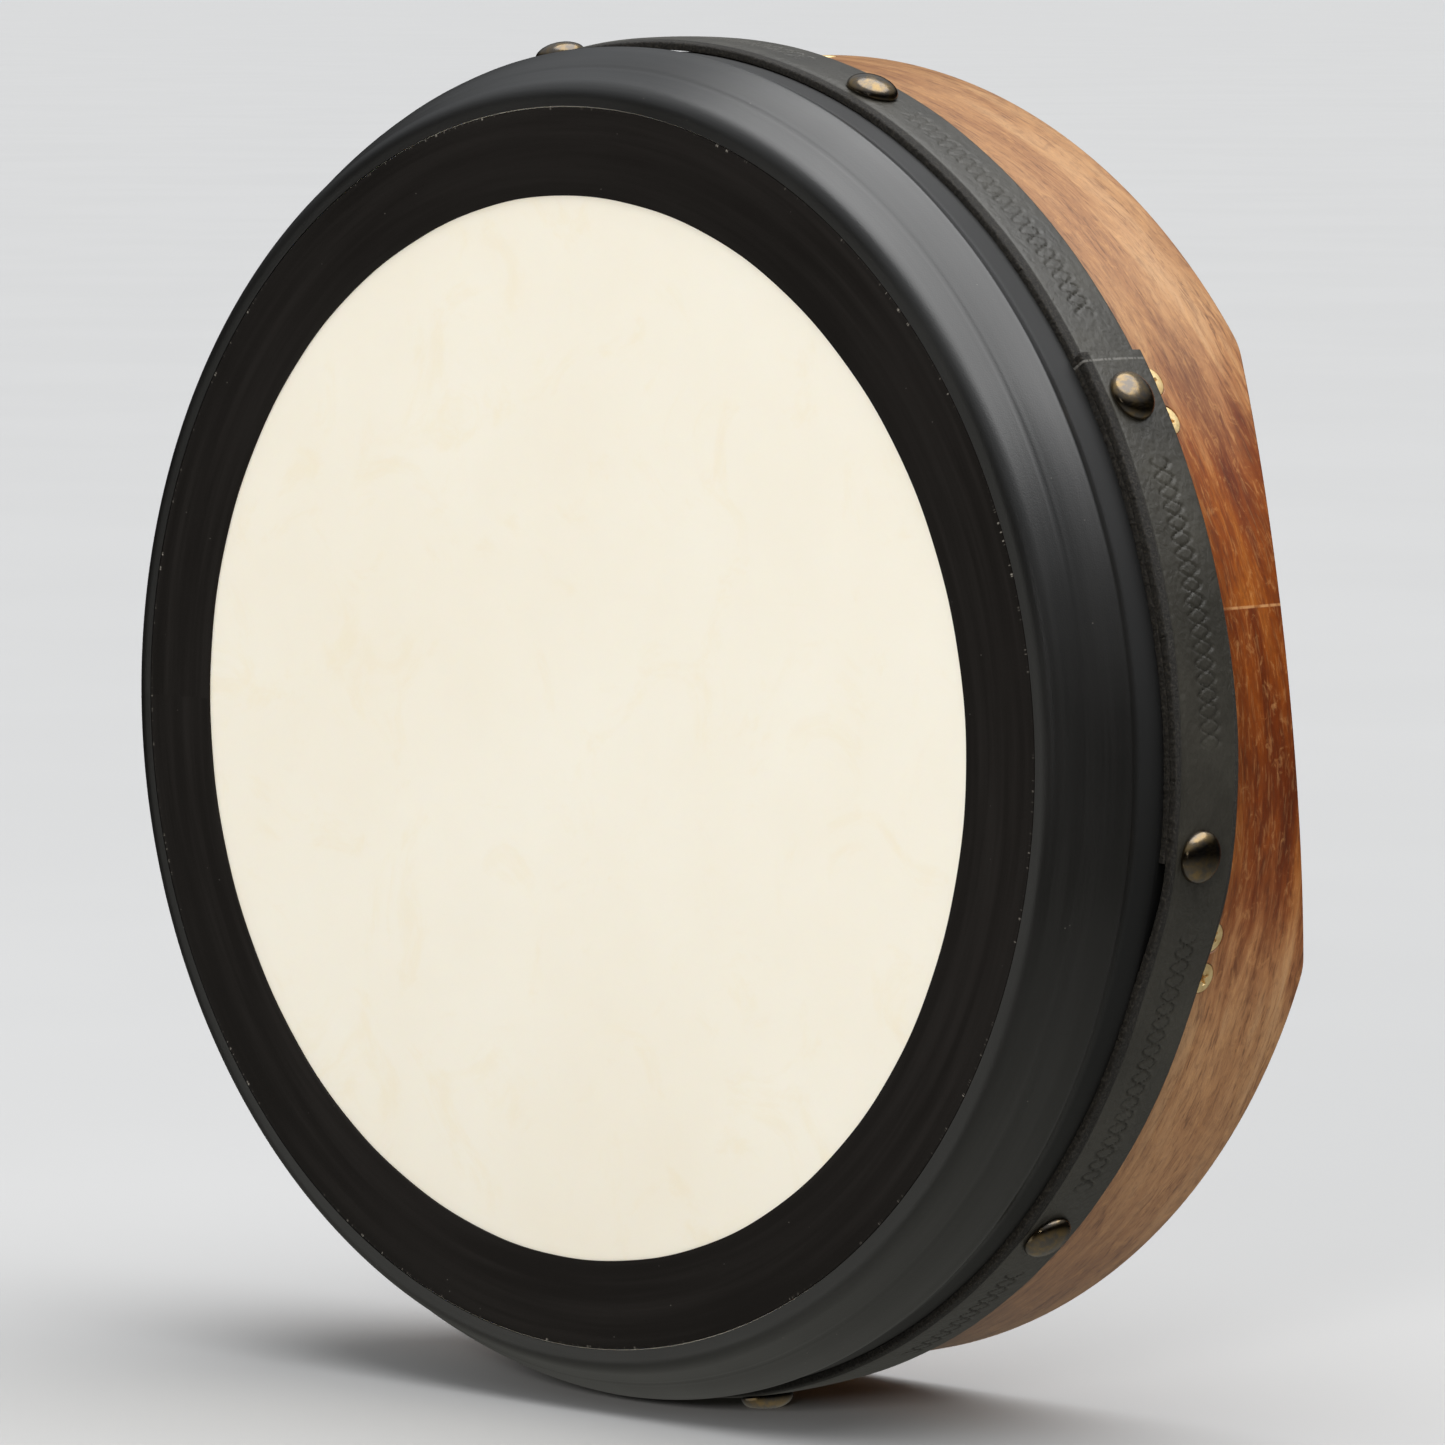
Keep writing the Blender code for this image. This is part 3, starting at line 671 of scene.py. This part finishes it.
def build_shoulder_tape():
    """The tape over the shoulder: it folds at a ridge and dives under the leather band."""
    top = -(TAPE_GAP + TAPE_THICKNESS)
    lifted = offset(SHOULDER, TAPE_GAP + TAPE_THICKNESS + 0.2)[1:-1]
    tucked = [(BAND_INNER - 0.1, BAND_FRONT + 1.0), (BAND_INNER - 0.1, BAND_FRONT + 12.0)]
    outside = smoothed([(TAPE_JOIN, top)] + lifted + RIDGE + tucked, 3)
    inside = offset(outside, -TAPE_THICKNESS)
    pucker = ripple(11, ((9, 0.16), (17, 0.14), (37, 0.08)))
    crease = ripple(5, ((2, 0.9), (5, 0.5), (12, 0.35)))

    def folds(angle, radius, depth):
        ridge = math.exp(-((depth - 18.6) / 1.1) ** 2) * 0.22
        groove = math.exp(-((depth - 8.2 - 0.35 * crease(angle)) / 0.32) ** 2) * -0.16
        lip = math.exp(-((depth - 9.0 - 0.35 * crease(angle)) / 0.5) ** 2) * 0.07
        wall = min(max((depth - 14.0) / 6.0, 0.0), 1.0) * min(max((31.0 - depth) / 6.0, 0.0), 1.0)
        return ridge + groove + lip + wall * 0.28 * pucker(angle)

    tape = turned("shoulder_tape_band", outside + inside[::-1], SHOULDER_TAPE, 720, 50.0, folds)
    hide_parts("tape_shoulder")
    return tape


# ---- leather band

def band_radius(angle):
    """The inner radius of the strip: it climbs over its own hidden end."""
    share = min(max((angle - CLIMB[0]) / (CLIMB[1] - CLIMB[0]), 0.0), 1.0)
    return BAND_INNER + LAP_RISE * share * share * (3 - 2 * share)


def bulge(angle, middle, reach):
    """1 at the middle angle, falling smoothly to 0 at this many degrees either side."""
    off = abs((angle - middle + 180.0) % 360.0 - 180.0) / reach
    return max(0.0, 1.0 - off * off) ** 2


def band_drift(angle):
    """How far the strip wanders towards the back: it dips where it starts to climb over its own end."""
    return 1.5 * bulge(angle, -4.0, 22.0) - 0.4 * bulge(angle, 40.0, 40.0)


def band_lift(angle):
    """How far the strip stands off the shell where it was pulled less tightly."""
    return 1.5 * bulge(angle, 97.0, 62.0) + 0.7 * bulge(angle, -80.0, 50.0)


def tooling(angle, across):
    """How deep, in millimetres, a plain stamped rope pattern presses the strip."""
    turn = angle % 360.0
    depth = 0.0
    for first, last in TOOLED:
        if not first <= turn <= last:
            continue
        arc = (turn - first) * math.radians(BAND_INNER + BAND_THICKNESS)
        ends = min(1.0, (turn - first) / 0.6, (last - turn) / 0.6)
        for phase in (0.0, math.pi):
            line = 3.4 * math.sin(arc * 2 * math.pi / 8.0 + phase)
            depth += TOOL_DEPTH * ends * math.exp(-((across - line) / 0.42) ** 2)
    return min(depth, TOOL_DEPTH)


def build_band():
    """The strip as a fine grid round its section, uneven along its cut front edge."""
    width = BAND_BACK - BAND_FRONT
    section = rounded(
        [(0.0, 0.0), (width, 0.0), (width, BAND_THICKNESS), (0.0, BAND_THICKNESS)], [0.2, 0.3, 0.7, 0.45], 3
    )
    top_low = width - 0.75
    top_high = 0.5
    fine_top = [(top_low + (top_high - top_low) * i / 44, BAND_THICKNESS) for i in range(1, 44)]
    on_top = BAND_THICKNESS - 1e-6
    cut_at = max(i for i, (across, up) in enumerate(section) if up > on_top and across > width / 2)
    section = section[:cut_at + 1] + fine_top + section[cut_at + 1:]
    steps = int((BAND_END - BAND_START) / BAND_STEP)
    random = np.random.default_rng(8)
    rough_edge = random.normal(0.0, 0.10, steps + 1)
    wave_front = ripple(21, ((3, 0.25), (8, 0.16), (19, 0.10)))
    wave_back = ripple(22, ((4, 0.12), (9, 0.08), (23, 0.05)))
    swell = ripple(23, ((6, 0.10), (15, 0.07), (41, 0.04)))
    vertices = []
    for step in range(steps + 1):
        angle = BAND_START + (BAND_END - BAND_START) * step / steps
        inner = band_radius(angle)
        for across, up in section:
            share = across / width
            shift = wave_front(angle) * (1 - share) + wave_back(angle) * share + band_drift(angle)
            raised = swell(angle) * up / BAND_THICKNESS * 0.5
            if across < 0.3:
                shift += rough_edge[step] * (1 - across / 0.3)
            if up > BAND_THICKNESS * 0.9:
                crease = math.exp(-((across - BAND_LIP) / 0.34) ** 2)
                raised -= 0.16 * crease
                raised -= tooling(angle, across - width / 2 - 1.0)
                raised += BAND_CROWN * math.sin(math.pi * share) ** 0.7
            lift = band_lift(angle) * (0.35 + 0.65 * min(across / 5.0, 1.0))
            vertices.append(world(inner + up + raised + lift, angle, BAND_FRONT + across + shift))
    count = len(section)
    faces = grid_faces(steps + 1, count, False, True)
    faces.append(tuple(range(count)))
    faces.append(tuple(steps * count + i for i in reversed(range(count))))
    band = closed_outwards(new_piece("leather_strip", vertices, faces, LEATHER, 60.0))
    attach(band, "drum")
    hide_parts("leather_band")
    return band


# ---- shell

def back_edge(across):
    """The depth of the shell's back edge where its wall is this far across from the middle of the cutaway."""
    middle = SCOOP_FLOOR + SCOOP_RADIUS
    corner = SHELL_BACK - SCOOP_CORNER
    corner_across = math.sqrt((SCOOP_RADIUS + SCOOP_CORNER) ** 2 - (middle - corner) ** 2)
    touch = corner_across * SCOOP_RADIUS / (SCOOP_RADIUS + SCOOP_CORNER)
    across = abs(across)
    if across >= corner_across:
        return SHELL_BACK
    if across <= touch:
        return middle - math.sqrt(SCOOP_RADIUS ** 2 - across ** 2)
    return corner + math.sqrt(SCOOP_CORNER ** 2 - (corner_across - across) ** 2)


def screw_seats():
    """(name of the CAD node, angle, depth, sideways place) for each screw, from the frame."""
    seats = []
    for node in sorted(frame["nodes"]):
        if "screw" not in node:
            continue
        low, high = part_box(node)
        depth = ((low.y + high.y) / 2 - FACE_Y) / MM
        is_bar = node.startswith("bar_")
        middle = centre_of(node)
        if is_bar:
            angle = 90.0 if middle.z > 0 else -90.0
        else:
            angle = angle_of(centre_of("tuner_bracket_" + node[-2]))
        turn = math.radians(angle)
        aside = (middle.z * math.cos(turn) - middle.x * math.sin(turn)) / MM
        seats.append((node, angle, depth, aside))
    return seats


def loose_object(name, work):
    """Turns a bmesh into an object of the scene."""
    mesh = bpy.data.meshes.new(name)
    work.to_mesh(mesh)
    work.free()
    obj = bpy.data.objects.new(name, mesh)
    bpy.context.scene.collection.objects.link(obj)
    return obj


def subtract(obj, cutters, crossing=False):
    """Cuts the cutters out of the object and deletes them. crossing is for a cutter that crosses itself."""
    for cutter in cutters:
        cut = obj.modifiers.new("cut", "BOOLEAN")
        cut.operation = "DIFFERENCE"
        cut.solver = "EXACT"
        cut.use_self = crossing
        cut.object = cutter
    graph = bpy.context.evaluated_depsgraph_get()
    mesh = bpy.data.meshes.new_from_object(obj.evaluated_get(graph))
    obj.modifiers.clear()
    obj.data = mesh
    for cutter in cutters:
        bpy.data.objects.remove(cutter, do_unlink=True)


def circle(work, radius, height, sides):
    """New vertices round Z, in metres."""
    return [work.verts.new((radius * math.cos(a), radius * math.sin(a), height))
            for a in (2 * math.pi * i / sides for i in range(sides))]


def countersinks(seats):
    """One cutter for all the countersunk screw holes."""
    work = bmesh.new()
    for _, angle, depth, aside in seats:
        made = bmesh.new()
        rings = [circle(made, radius * MM, height * MM, SINK_SIDES) for radius, height in SINK_PROFILE]
        for upper, lower in zip(rings, rings[1:]):
            for i in range(SINK_SIDES):
                made.faces.new((upper[i - 1], lower[i - 1], lower[i], upper[i]))
        made.faces.new(rings[0])
        made.faces.new(rings[-1][::-1])
        bmesh.ops.recalc_face_normals(made, faces=made.faces)
        made.transform(outward(angle, SHELL_RADIUS, depth, aside))
        mesh = bpy.data.meshes.new("sink")
        made.to_mesh(mesh)
        made.free()
        work.from_mesh(mesh)
        bpy.data.meshes.remove(mesh)
    return loose_object("countersinks", work)


def build_shell(seats):
    inner = SHELL_RADIUS - SHELL_WALL
    front = offset(smoothed(SHOULDER), -(SKIN_THICKNESS + 0.35))
    front = [(radius, depth) for radius, depth in front if radius > inner + 1.0 and depth > 4.4]
    lead = [(inner, 26.0), (inner, 5.6), (inner + 0.5, 4.9), (inner + 1.3, 4.7)] + front
    lead += [(SHELL_RADIUS, 19.0), (SHELL_RADIUS, 34.0), (SHELL_RADIUS, 54.0)]
    ease = 1.1
    arcs = [math.pi / 2 * i / 4 for i in range(5)]
    steps = 600
    vertices = []
    for step in range(steps):
        angle = 360.0 * step / steps
        turn = math.radians(angle - SCOOP_ANGLE)
        facing = math.cos(turn) > 0
        outer_back = back_edge(SHELL_RADIUS * math.sin(turn)) if facing else SHELL_BACK
        inner_back = back_edge(inner * math.sin(turn)) if facing else SHELL_BACK
        ring = list(lead)
        ring += [(SHELL_RADIUS, 54.0 + (outer_back - ease - 54.0) * i / 4) for i in (1, 2, 3)]
        outer_arc = [(ease * (1 - math.cos(a)), ease * (1 - math.sin(a))) for a in arcs]
        ring += [(SHELL_RADIUS - across, outer_back - down) for across, down in outer_arc]
        ring += [(inner + across, inner_back - down) for down, across in outer_arc]
        ring += [(inner, inner_back - ease - (inner_back - ease - 26.0) * i / 4) for i in (1, 2, 3)]
        vertices += [world(radius, angle, depth) for radius, depth in ring]
    faces = grid_faces(steps, len(vertices) // steps, True, True)
    shell = closed_outwards(new_piece("wooden_shell", vertices, faces, SHELL_WOOD, 35.0))
    subtract(shell, [countersinks(seats)])
    shell.data.shade_smooth()
    shell.data.set_sharp_from_angle(angle=math.radians(35.0))
    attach(shell, "drum")
    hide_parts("shell")
    return shell


# ---- small hardware

def dome_mesh():
    """A furniture tack's head: a round cap with a thin rolled rim, in metres, base at Z = 0."""
    low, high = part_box("tack_05")
    radius = (high.y - low.y) / 2
    rise = TACK_RISE * MM
    slopes = [math.pi / 2 * i / 16 for i in range(17)]
    profile = [(radius * math.cos(slope), rise * math.sin(slope) ** 0.92) for slope in slopes]
    profile[0] = (radius, 0.0)
    profile.insert(1, (radius, 0.25 * MM))
    profile[-1] = (0.0, rise)
    return lathe("tack_dome", [(0.0, -0.2 * MM), (radius - 0.3 * MM, -0.2 * MM)] + profile, 48)


def lathe(name, profile, sides):
    """A closed turned shape about Z: the profile starts and ends on the axis."""
    work = bmesh.new()
    first = work.verts.new((0.0, 0.0, profile[0][1]))
    last = work.verts.new((0.0, 0.0, profile[-1][1]))
    rings = [circle(work, radius, height, sides) for radius, height in profile[1:-1]]
    for i in range(sides):
        work.faces.new((first, rings[0][i], rings[0][i - 1]))
        work.faces.new((last, rings[-1][i - 1], rings[-1][i]))
        for lower, upper in zip(rings, rings[1:]):
            work.faces.new((lower[i - 1], lower[i], upper[i], upper[i - 1]))
    bmesh.ops.recalc_face_normals(work, faces=work.faces)
    mesh = bpy.data.meshes.new(name)
    work.to_mesh(mesh)
    work.free()
    return mesh


def build_tacks():
    mesh = dome_mesh()
    for node in sorted(n for n in frame["nodes"] if n.startswith("tack_")):
        middle = centre_of(node)
        angle = angle_of(middle)
        depth = (middle.y - FACE_Y) / MM
        turn = math.radians(angle)
        corners = [v.co for v in frame["nodes"][node].data.vertices]
        top = max(v.x * math.cos(turn) + v.z * math.sin(turn) for v in corners) / MM
        piece = add_piece("dome_" + node, mesh, ANTIQUE, 50.0)
        piece.matrix_world = outward(angle, top - TACK_RISE + BAND_CROWN + band_lift(angle), depth)
        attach(piece, "drum")
        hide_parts(node)


def cross_screw_mesh():
    """A countersunk head with a tapered cross recess, and its plain shank."""
    head = SCREW_HEAD * MM
    mesh = lathe("cross_screw", [
        (0.0, -0.016), (0.0012, -0.0155), (0.0018, -0.0145), (0.0019, -0.0027), (head - 0.0001, -0.0005),
        (head, -0.0003), (head - 0.00015, -0.00008), (head - 0.0004, 0.0), (0.0026, 0.00012), (0.0, 0.00022),
    ], 40)
    screw = bpy.data.objects.new("cross_screw", mesh)
    bpy.context.scene.collection.objects.link(screw)
    blades = []
    for turn in (0.0, 90.0):
        work = bmesh.new()
        bmesh.ops.create_cube(work, size=1.0)
        for vertex in work.verts:
            length, width, height = BLADE_TOP if vertex.co.z > 0 else BLADE_TIP
            vertex.co.x *= length
            vertex.co.y *= width
            vertex.co.z = height
        work.transform(Matrix.Rotation(math.radians(turn), 4, "Z"))
        blades.append(loose_object("blade", work))
    subtract(screw, blades)
    mesh = screw.data
    bpy.data.objects.remove(screw, do_unlink=True)
    return mesh


def build_screws(seats):
    mesh = cross_screw_mesh()
    random = np.random.default_rng(4)
    for node, angle, depth, aside in seats:
        piece = add_piece("brass_" + node, mesh, BRASS, 35.0)
        spin = Matrix.Rotation(random.uniform(0.0, math.pi), 4, "Z")
        piece.matrix_world = outward(angle, SHELL_RADIUS - SCREW_SINK, depth, aside) @ spin
        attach(piece, "drum")
        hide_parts(node)


# ---- tuning gear

def build_ring():
    inner = RING_OUTER - RING_WALL
    corners = [(inner, RING_FRONT), (RING_OUTER, RING_FRONT), (RING_OUTER, RING_BACK), (inner, RING_BACK)]
    ring = turned("wooden_tuning_ring", rounded(corners, [1.5, 1.2, 0.8, 1.2], 5), RING_WOOD, 360, 50.0)
    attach(ring, "tuning_ring")
    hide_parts("tuning_ring")


def bolt_mesh(length):
    """A socket-headed bolt along +Z from its tip at 0, with a true helical thread and a knurled head.

    The length is of the threaded part, in metres."""
    sides = 24
    per_turn = 8
    rows = int(length / THREAD_PITCH * per_turn)
    work = bmesh.new()
    rings = []
    for row in range(rows + 1):
        height = length * row / rows
        ring = []
        for i in range(sides):
            phase = (height / THREAD_PITCH - i / sides) % 1.0
            groove = abs(phase - 0.5) * 2
            taper = min(1.0, 0.62 + height / 0.0030)
            radius = (THREAD_RADIUS - THREAD_DEPTH * groove) * taper
            angle = 2 * math.pi * i / sides
            ring.append(work.verts.new((radius * math.cos(angle), radius * math.sin(angle), height)))
        rings.append(ring)
    for lower, upper in zip(rings, rings[1:]):
        for i in range(sides):
            work.faces.new((lower[i - 1], lower[i], upper[i], upper[i - 1]))
    work.faces.new(rings[0][::-1])
    top = length + BOLT_HEAD_HEIGHT
    full = BOLT_HEAD_RADIUS
    profile = [(full * 0.62, length), (full, length), (full, length + 0.0005), (full, top - 0.0008)]
    profile.append((full - 0.0006, top))
    count = KNURLS * 2
    head = []
    for radius, height in profile:
        ring = []
        for i in range(count):
            bitten = radius - (KNURL_DEPTH if i % 2 and length < height < top else 0.0)
            angle = math.pi * i / KNURLS
            ring.append(work.verts.new((bitten * math.cos(angle), bitten * math.sin(angle), height)))
        head.append(ring)
    for lower, upper in zip(head, head[1:]):
        for i in range(count):
            work.faces.new((lower[i - 1], lower[i], upper[i], upper[i - 1]))
    mouth = circle(work, SOCKET_RADIUS, top, 6)
    bottom = circle(work, SOCKET_RADIUS, top - SOCKET_DEPTH, 6)
    for i in range(6):
        work.faces.new((mouth[i - 1], bottom[i - 1], bottom[i], mouth[i]))
    work.faces.new(bottom)
    for side in range(6):
        for i in range(count // 6):
            here = side * (count // 6) + i
            there = (here + 1) % count
            corner = mouth[side] if i < count // 12 else mouth[(side + 1) % 6]
            work.faces.new((head[-1][here], head[-1][there], corner))
            if i == count // 12:
                work.faces.new((head[-1][here], mouth[(side + 1) % 6], mouth[side]))
    work.faces.new(head[0][::-1])
    bmesh.ops.recalc_face_normals(work, faces=work.faces)
    mesh = bpy.data.meshes.new("socket_bolt")
    work.to_mesh(mesh)
    work.free()
    return mesh


def build_tuners():
    low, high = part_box("tuner_bolt_1")
    mesh = bolt_mesh(high.y - low.y - BOLT_HEAD_HEIGHT)
    towards_back = Matrix.Rotation(math.radians(-90.0), 4, "X")
    for index in range(1, 9):
        node = f"tuner_bolt_{index}"
        low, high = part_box(node)
        middle = (low + high) / 2
        piece = add_piece("socket_" + node, mesh, STEEL, 30.0)
        turn = Matrix.Rotation(0.7 * index, 4, "Y")
        piece.matrix_world = Matrix.Translation((middle.x, low.y, middle.z)) @ turn @ towards_back
        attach(piece, f"tuner_{index}")
        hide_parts(node)
    mesh = bracket_mesh()
    for index in range(1, 9):
        node = f"tuner_bracket_{index}"
        middle = centre_of(node)
        turn = math.radians(angle_of(middle))
        corners = [v.co for v in frame["nodes"][node].data.vertices]
        reach = max(v.x * math.cos(turn) + v.z * math.sin(turn) for v in corners) / MM
        piece = add_piece("block_" + node, mesh, STEEL, 40.0)
        piece.matrix_world = outward(math.degrees(turn), reach, (middle.y - FACE_Y) / MM)
        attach(piece, "drum")
        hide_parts(node)


def bracket_mesh():
    """A rounded block, its top at Z = 0 against the shell, with a plain bore along X for the bolt,
    countersunk at each end.
    """
    work = bmesh.new()
    bmesh.ops.create_cube(work, size=1.0)
    for vertex in work.verts:
        vertex.co.x *= BRACKET_SIZE[0]
        vertex.co.y *= BRACKET_SIZE[1]
        vertex.co.z = 0.0 if vertex.co.z > 0 else -BRACKET_SIZE[2]
    bmesh.ops.bevel(work, geom=work.edges[:], offset=BRACKET_EASE, segments=3, affect="EDGES", profile=0.5)
    block = loose_object("bracket_block", work)
    hole = bmesh.new()
    half = BRACKET_SIZE[0] / 2
    # The bore right through, then a countersink at each end: place along X, way it faces, radii and length.
    for end, facing, wide, narrow, length in (
        (0.0, 1.0, BRACKET_BORE, BRACKET_BORE, 0.02), (-half, 1.0, 0.0046, 0.0030, 0.0016),
        (half, -1.0, 0.0046, 0.0030, 0.0016),
    ):
        placed = Matrix.Rotation(math.radians(90.0 * facing), 4, "Y")
        placed.translation = (end, 0.0, BORE_DROP)
        bmesh.ops.create_cone(hole, cap_ends=True, segments=40, radius1=wide, radius2=narrow, depth=length,
                              matrix=placed)
    subtract(block, [loose_object("bolt_hole", hole)], crossing=True)
    mesh = block.data
    bpy.data.objects.remove(block, do_unlink=True)
    return mesh


# ---- crossbar

def build_crossbar():
    """The hand bar: a slat with rounded edges and a slimmer waist, along Z across the open back."""
    low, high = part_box("crossbar")
    half = (high.z - low.z) / 2
    middle = (low + high) / 2
    width_end = high.x - low.x
    waist = width_end * 21.0 / 27.0
    thick = high.y - low.y
    rows = 90
    vertices = []
    for row in range(rows + 1):
        along = -1.0 + 2.0 * row / rows
        width = waist + (width_end - waist) * min(abs(along) / 0.75, 1.0) ** 2
        soft = 0.0052 - 0.0022 * min(abs(along) / 0.75, 1.0) ** 2
        signs = ((-0.5, -0.5), (0.5, -0.5), (0.5, 0.5), (-0.5, 0.5))
        corners = [(width * x, thick * y) for x, y in signs]
        for x, y in rounded(corners, [soft] * 4, 6):
            vertices.append((middle.x + x, middle.y + y, middle.z + along * half))
    count = len(vertices) // (rows + 1)
    faces = grid_faces(rows + 1, count, False, True)
    faces.append(tuple(range(count)))
    faces.append(tuple(rows * count + i for i in reversed(range(count))))
    bar = closed_outwards(new_piece("wooden_crossbar", vertices, faces, BAR_WOOD, 50.0))
    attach(bar, "drum")
    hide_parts("crossbar")


# ---- build

build_band()
skin = build_skin()
face_tape = build_face_tape()
shoulder_tape = build_shoulder_tape()
SEATS = screw_seats()
build_shell(SEATS)
build_tacks()
build_screws(SEATS)
build_ring()
build_tuners()
build_crossbar()

# The skin and both tapes have their placement baked into their meshes.
for piece in (skin, face_tape, shoulder_tape):
    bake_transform(piece)


# ---- studio

BACKDROP = (0.716, 0.716, 0.716)
# From straight below (0) through the horizon (0.5) to straight above (1).
TENT_TONES = [
    (0.0, (0.40, 0.40, 0.36)), (0.22, (0.22, 0.22, 0.20)), (0.42, (0.01, 0.01, 0.01)),
    (0.62, (0.012, 0.012, 0.012)), (0.76, (0.42, 0.44, 0.46)), (1.0, (0.72, 0.75, 0.78)),
]
FLOOR_REACH = 120.0
CAMERA_PLACE = (1.6318, -1.7255, 0.2063)
CAMERA_AIM = (-0.6910, 0.71747, -0.08806)
CAMERA_LENS = 217.75


def area_light(name, place, target, size, power, colour):
    light = bpy.data.lights.new(name, "AREA")
    light.shape = "RECTANGLE"
    light.size, light.size_y = size
    light.energy = power
    light.color = colour
    lamp = bpy.data.objects.new(name, light)
    bpy.context.scene.collection.objects.link(lamp)
    lamp.location = place
    lamp.visible_camera = False
    lamp.rotation_mode = "QUATERNION"
    lamp.rotation_quaternion = (Vector(target) - Vector(place)).to_track_quat("-Z", "Y")
    return lamp


def studio_world():
    """A plain grey behind everything, and a light tent for reflections: dark at the horizon, pale below."""
    tent = bpy.data.worlds.new("studio")
    tent.use_nodes = True
    tree = tent.node_tree
    make = tree.nodes.new
    seen = tree.nodes["Background"]
    seen.inputs["Color"].default_value = (*BACKDROP, 1.0)
    lit = make("ShaderNodeBackground")
    direction = make("ShaderNodeTexCoord")
    split = make("ShaderNodeSeparateXYZ")
    tree.links.new(direction.outputs["Generated"], split.inputs[0])
    lift = make("ShaderNodeMapRange")
    lift.inputs["From Min"].default_value = -1.0
    lift.inputs["From Max"].default_value = 1.0
    tree.links.new(split.outputs[2], lift.inputs["Value"])
    tones = make("ShaderNodeValToRGB")
    elements = tones.color_ramp.elements
    elements[0].color = (*TENT_TONES[0][1], 1.0)
    elements[1].color = (*TENT_TONES[-1][1], 1.0)
    for position, tone in TENT_TONES[1:-1]:
        elements.new(position).color = (*tone, 1.0)
    tree.links.new(lift.outputs[0], tones.inputs[0])
    tree.links.new(tones.outputs[0], lit.inputs["Color"])
    ray = make("ShaderNodeLightPath")
    pick = make("ShaderNodeMixShader")
    tree.links.new(ray.outputs["Is Camera Ray"], pick.inputs[0])
    tree.links.new(lit.outputs[0], pick.inputs[1])
    tree.links.new(seen.outputs[0], pick.inputs[2])
    tree.links.new(pick.outputs[0], tree.nodes["World Output"].inputs["Surface"])
    return tent


def build_studio():
    scene = bpy.context.scene
    scene.view_settings.view_transform = "Standard"
    scene.world = studio_world()

    mesh = bpy.data.meshes.new("floor")
    signs = ((-1, -1), (1, -1), (1, 1), (-1, 1))
    mesh.from_pydata([(x * FLOOR_REACH, y * FLOOR_REACH, FLOOR_Z) for x, y in signs], [], [(0, 1, 2, 3)])
    mesh.materials.append(FLOOR)
    floor = bpy.data.objects.new("floor", mesh)
    scene.collection.objects.link(floor)
    floor.visible_glossy = False

    sky = bpy.data.lights.new("overhead", "SUN")
    sky.energy = 3.45
    sky.angle = math.radians(76.0)
    overhead = bpy.data.objects.new("overhead", sky)
    scene.collection.objects.link(overhead)
    overhead.rotation_euler = (math.radians(-8.0), math.radians(13.0), 0.0)
    front = area_light("front", (1.7, -3.0, 0.9), (0.0, 0.0, 0.0), (0.7, 0.7), 55.0, (1.0, 0.98, 0.95))
    front.visible_glossy = False
    area_light("spark", (1.7, -3.0, 0.5), (0.0, 0.0, 0.0), (0.09, 0.09), 1.6, (1.0, 1.0, 1.0))
    low = (-0.5, -0.75, FLOOR_Z + 0.03)
    area_light("under_fill", low, (-0.1, 0.0, 0.35), (0.9, 0.9), 1.2, (1.0, 1.0, 0.94))

    camera_data = bpy.data.cameras.new("camera")
    camera_data.sensor_width = 36.0
    camera_data.lens = CAMERA_LENS
    camera_data.clip_end = 400.0
    camera = bpy.data.objects.new("camera", camera_data)
    scene.collection.objects.link(camera)
    camera.location = CAMERA_PLACE
    camera.rotation_mode = "QUATERNION"
    camera.rotation_quaternion = Vector(CAMERA_AIM).to_track_quat("-Z", "Y")
    scene.camera = camera


build_studio()
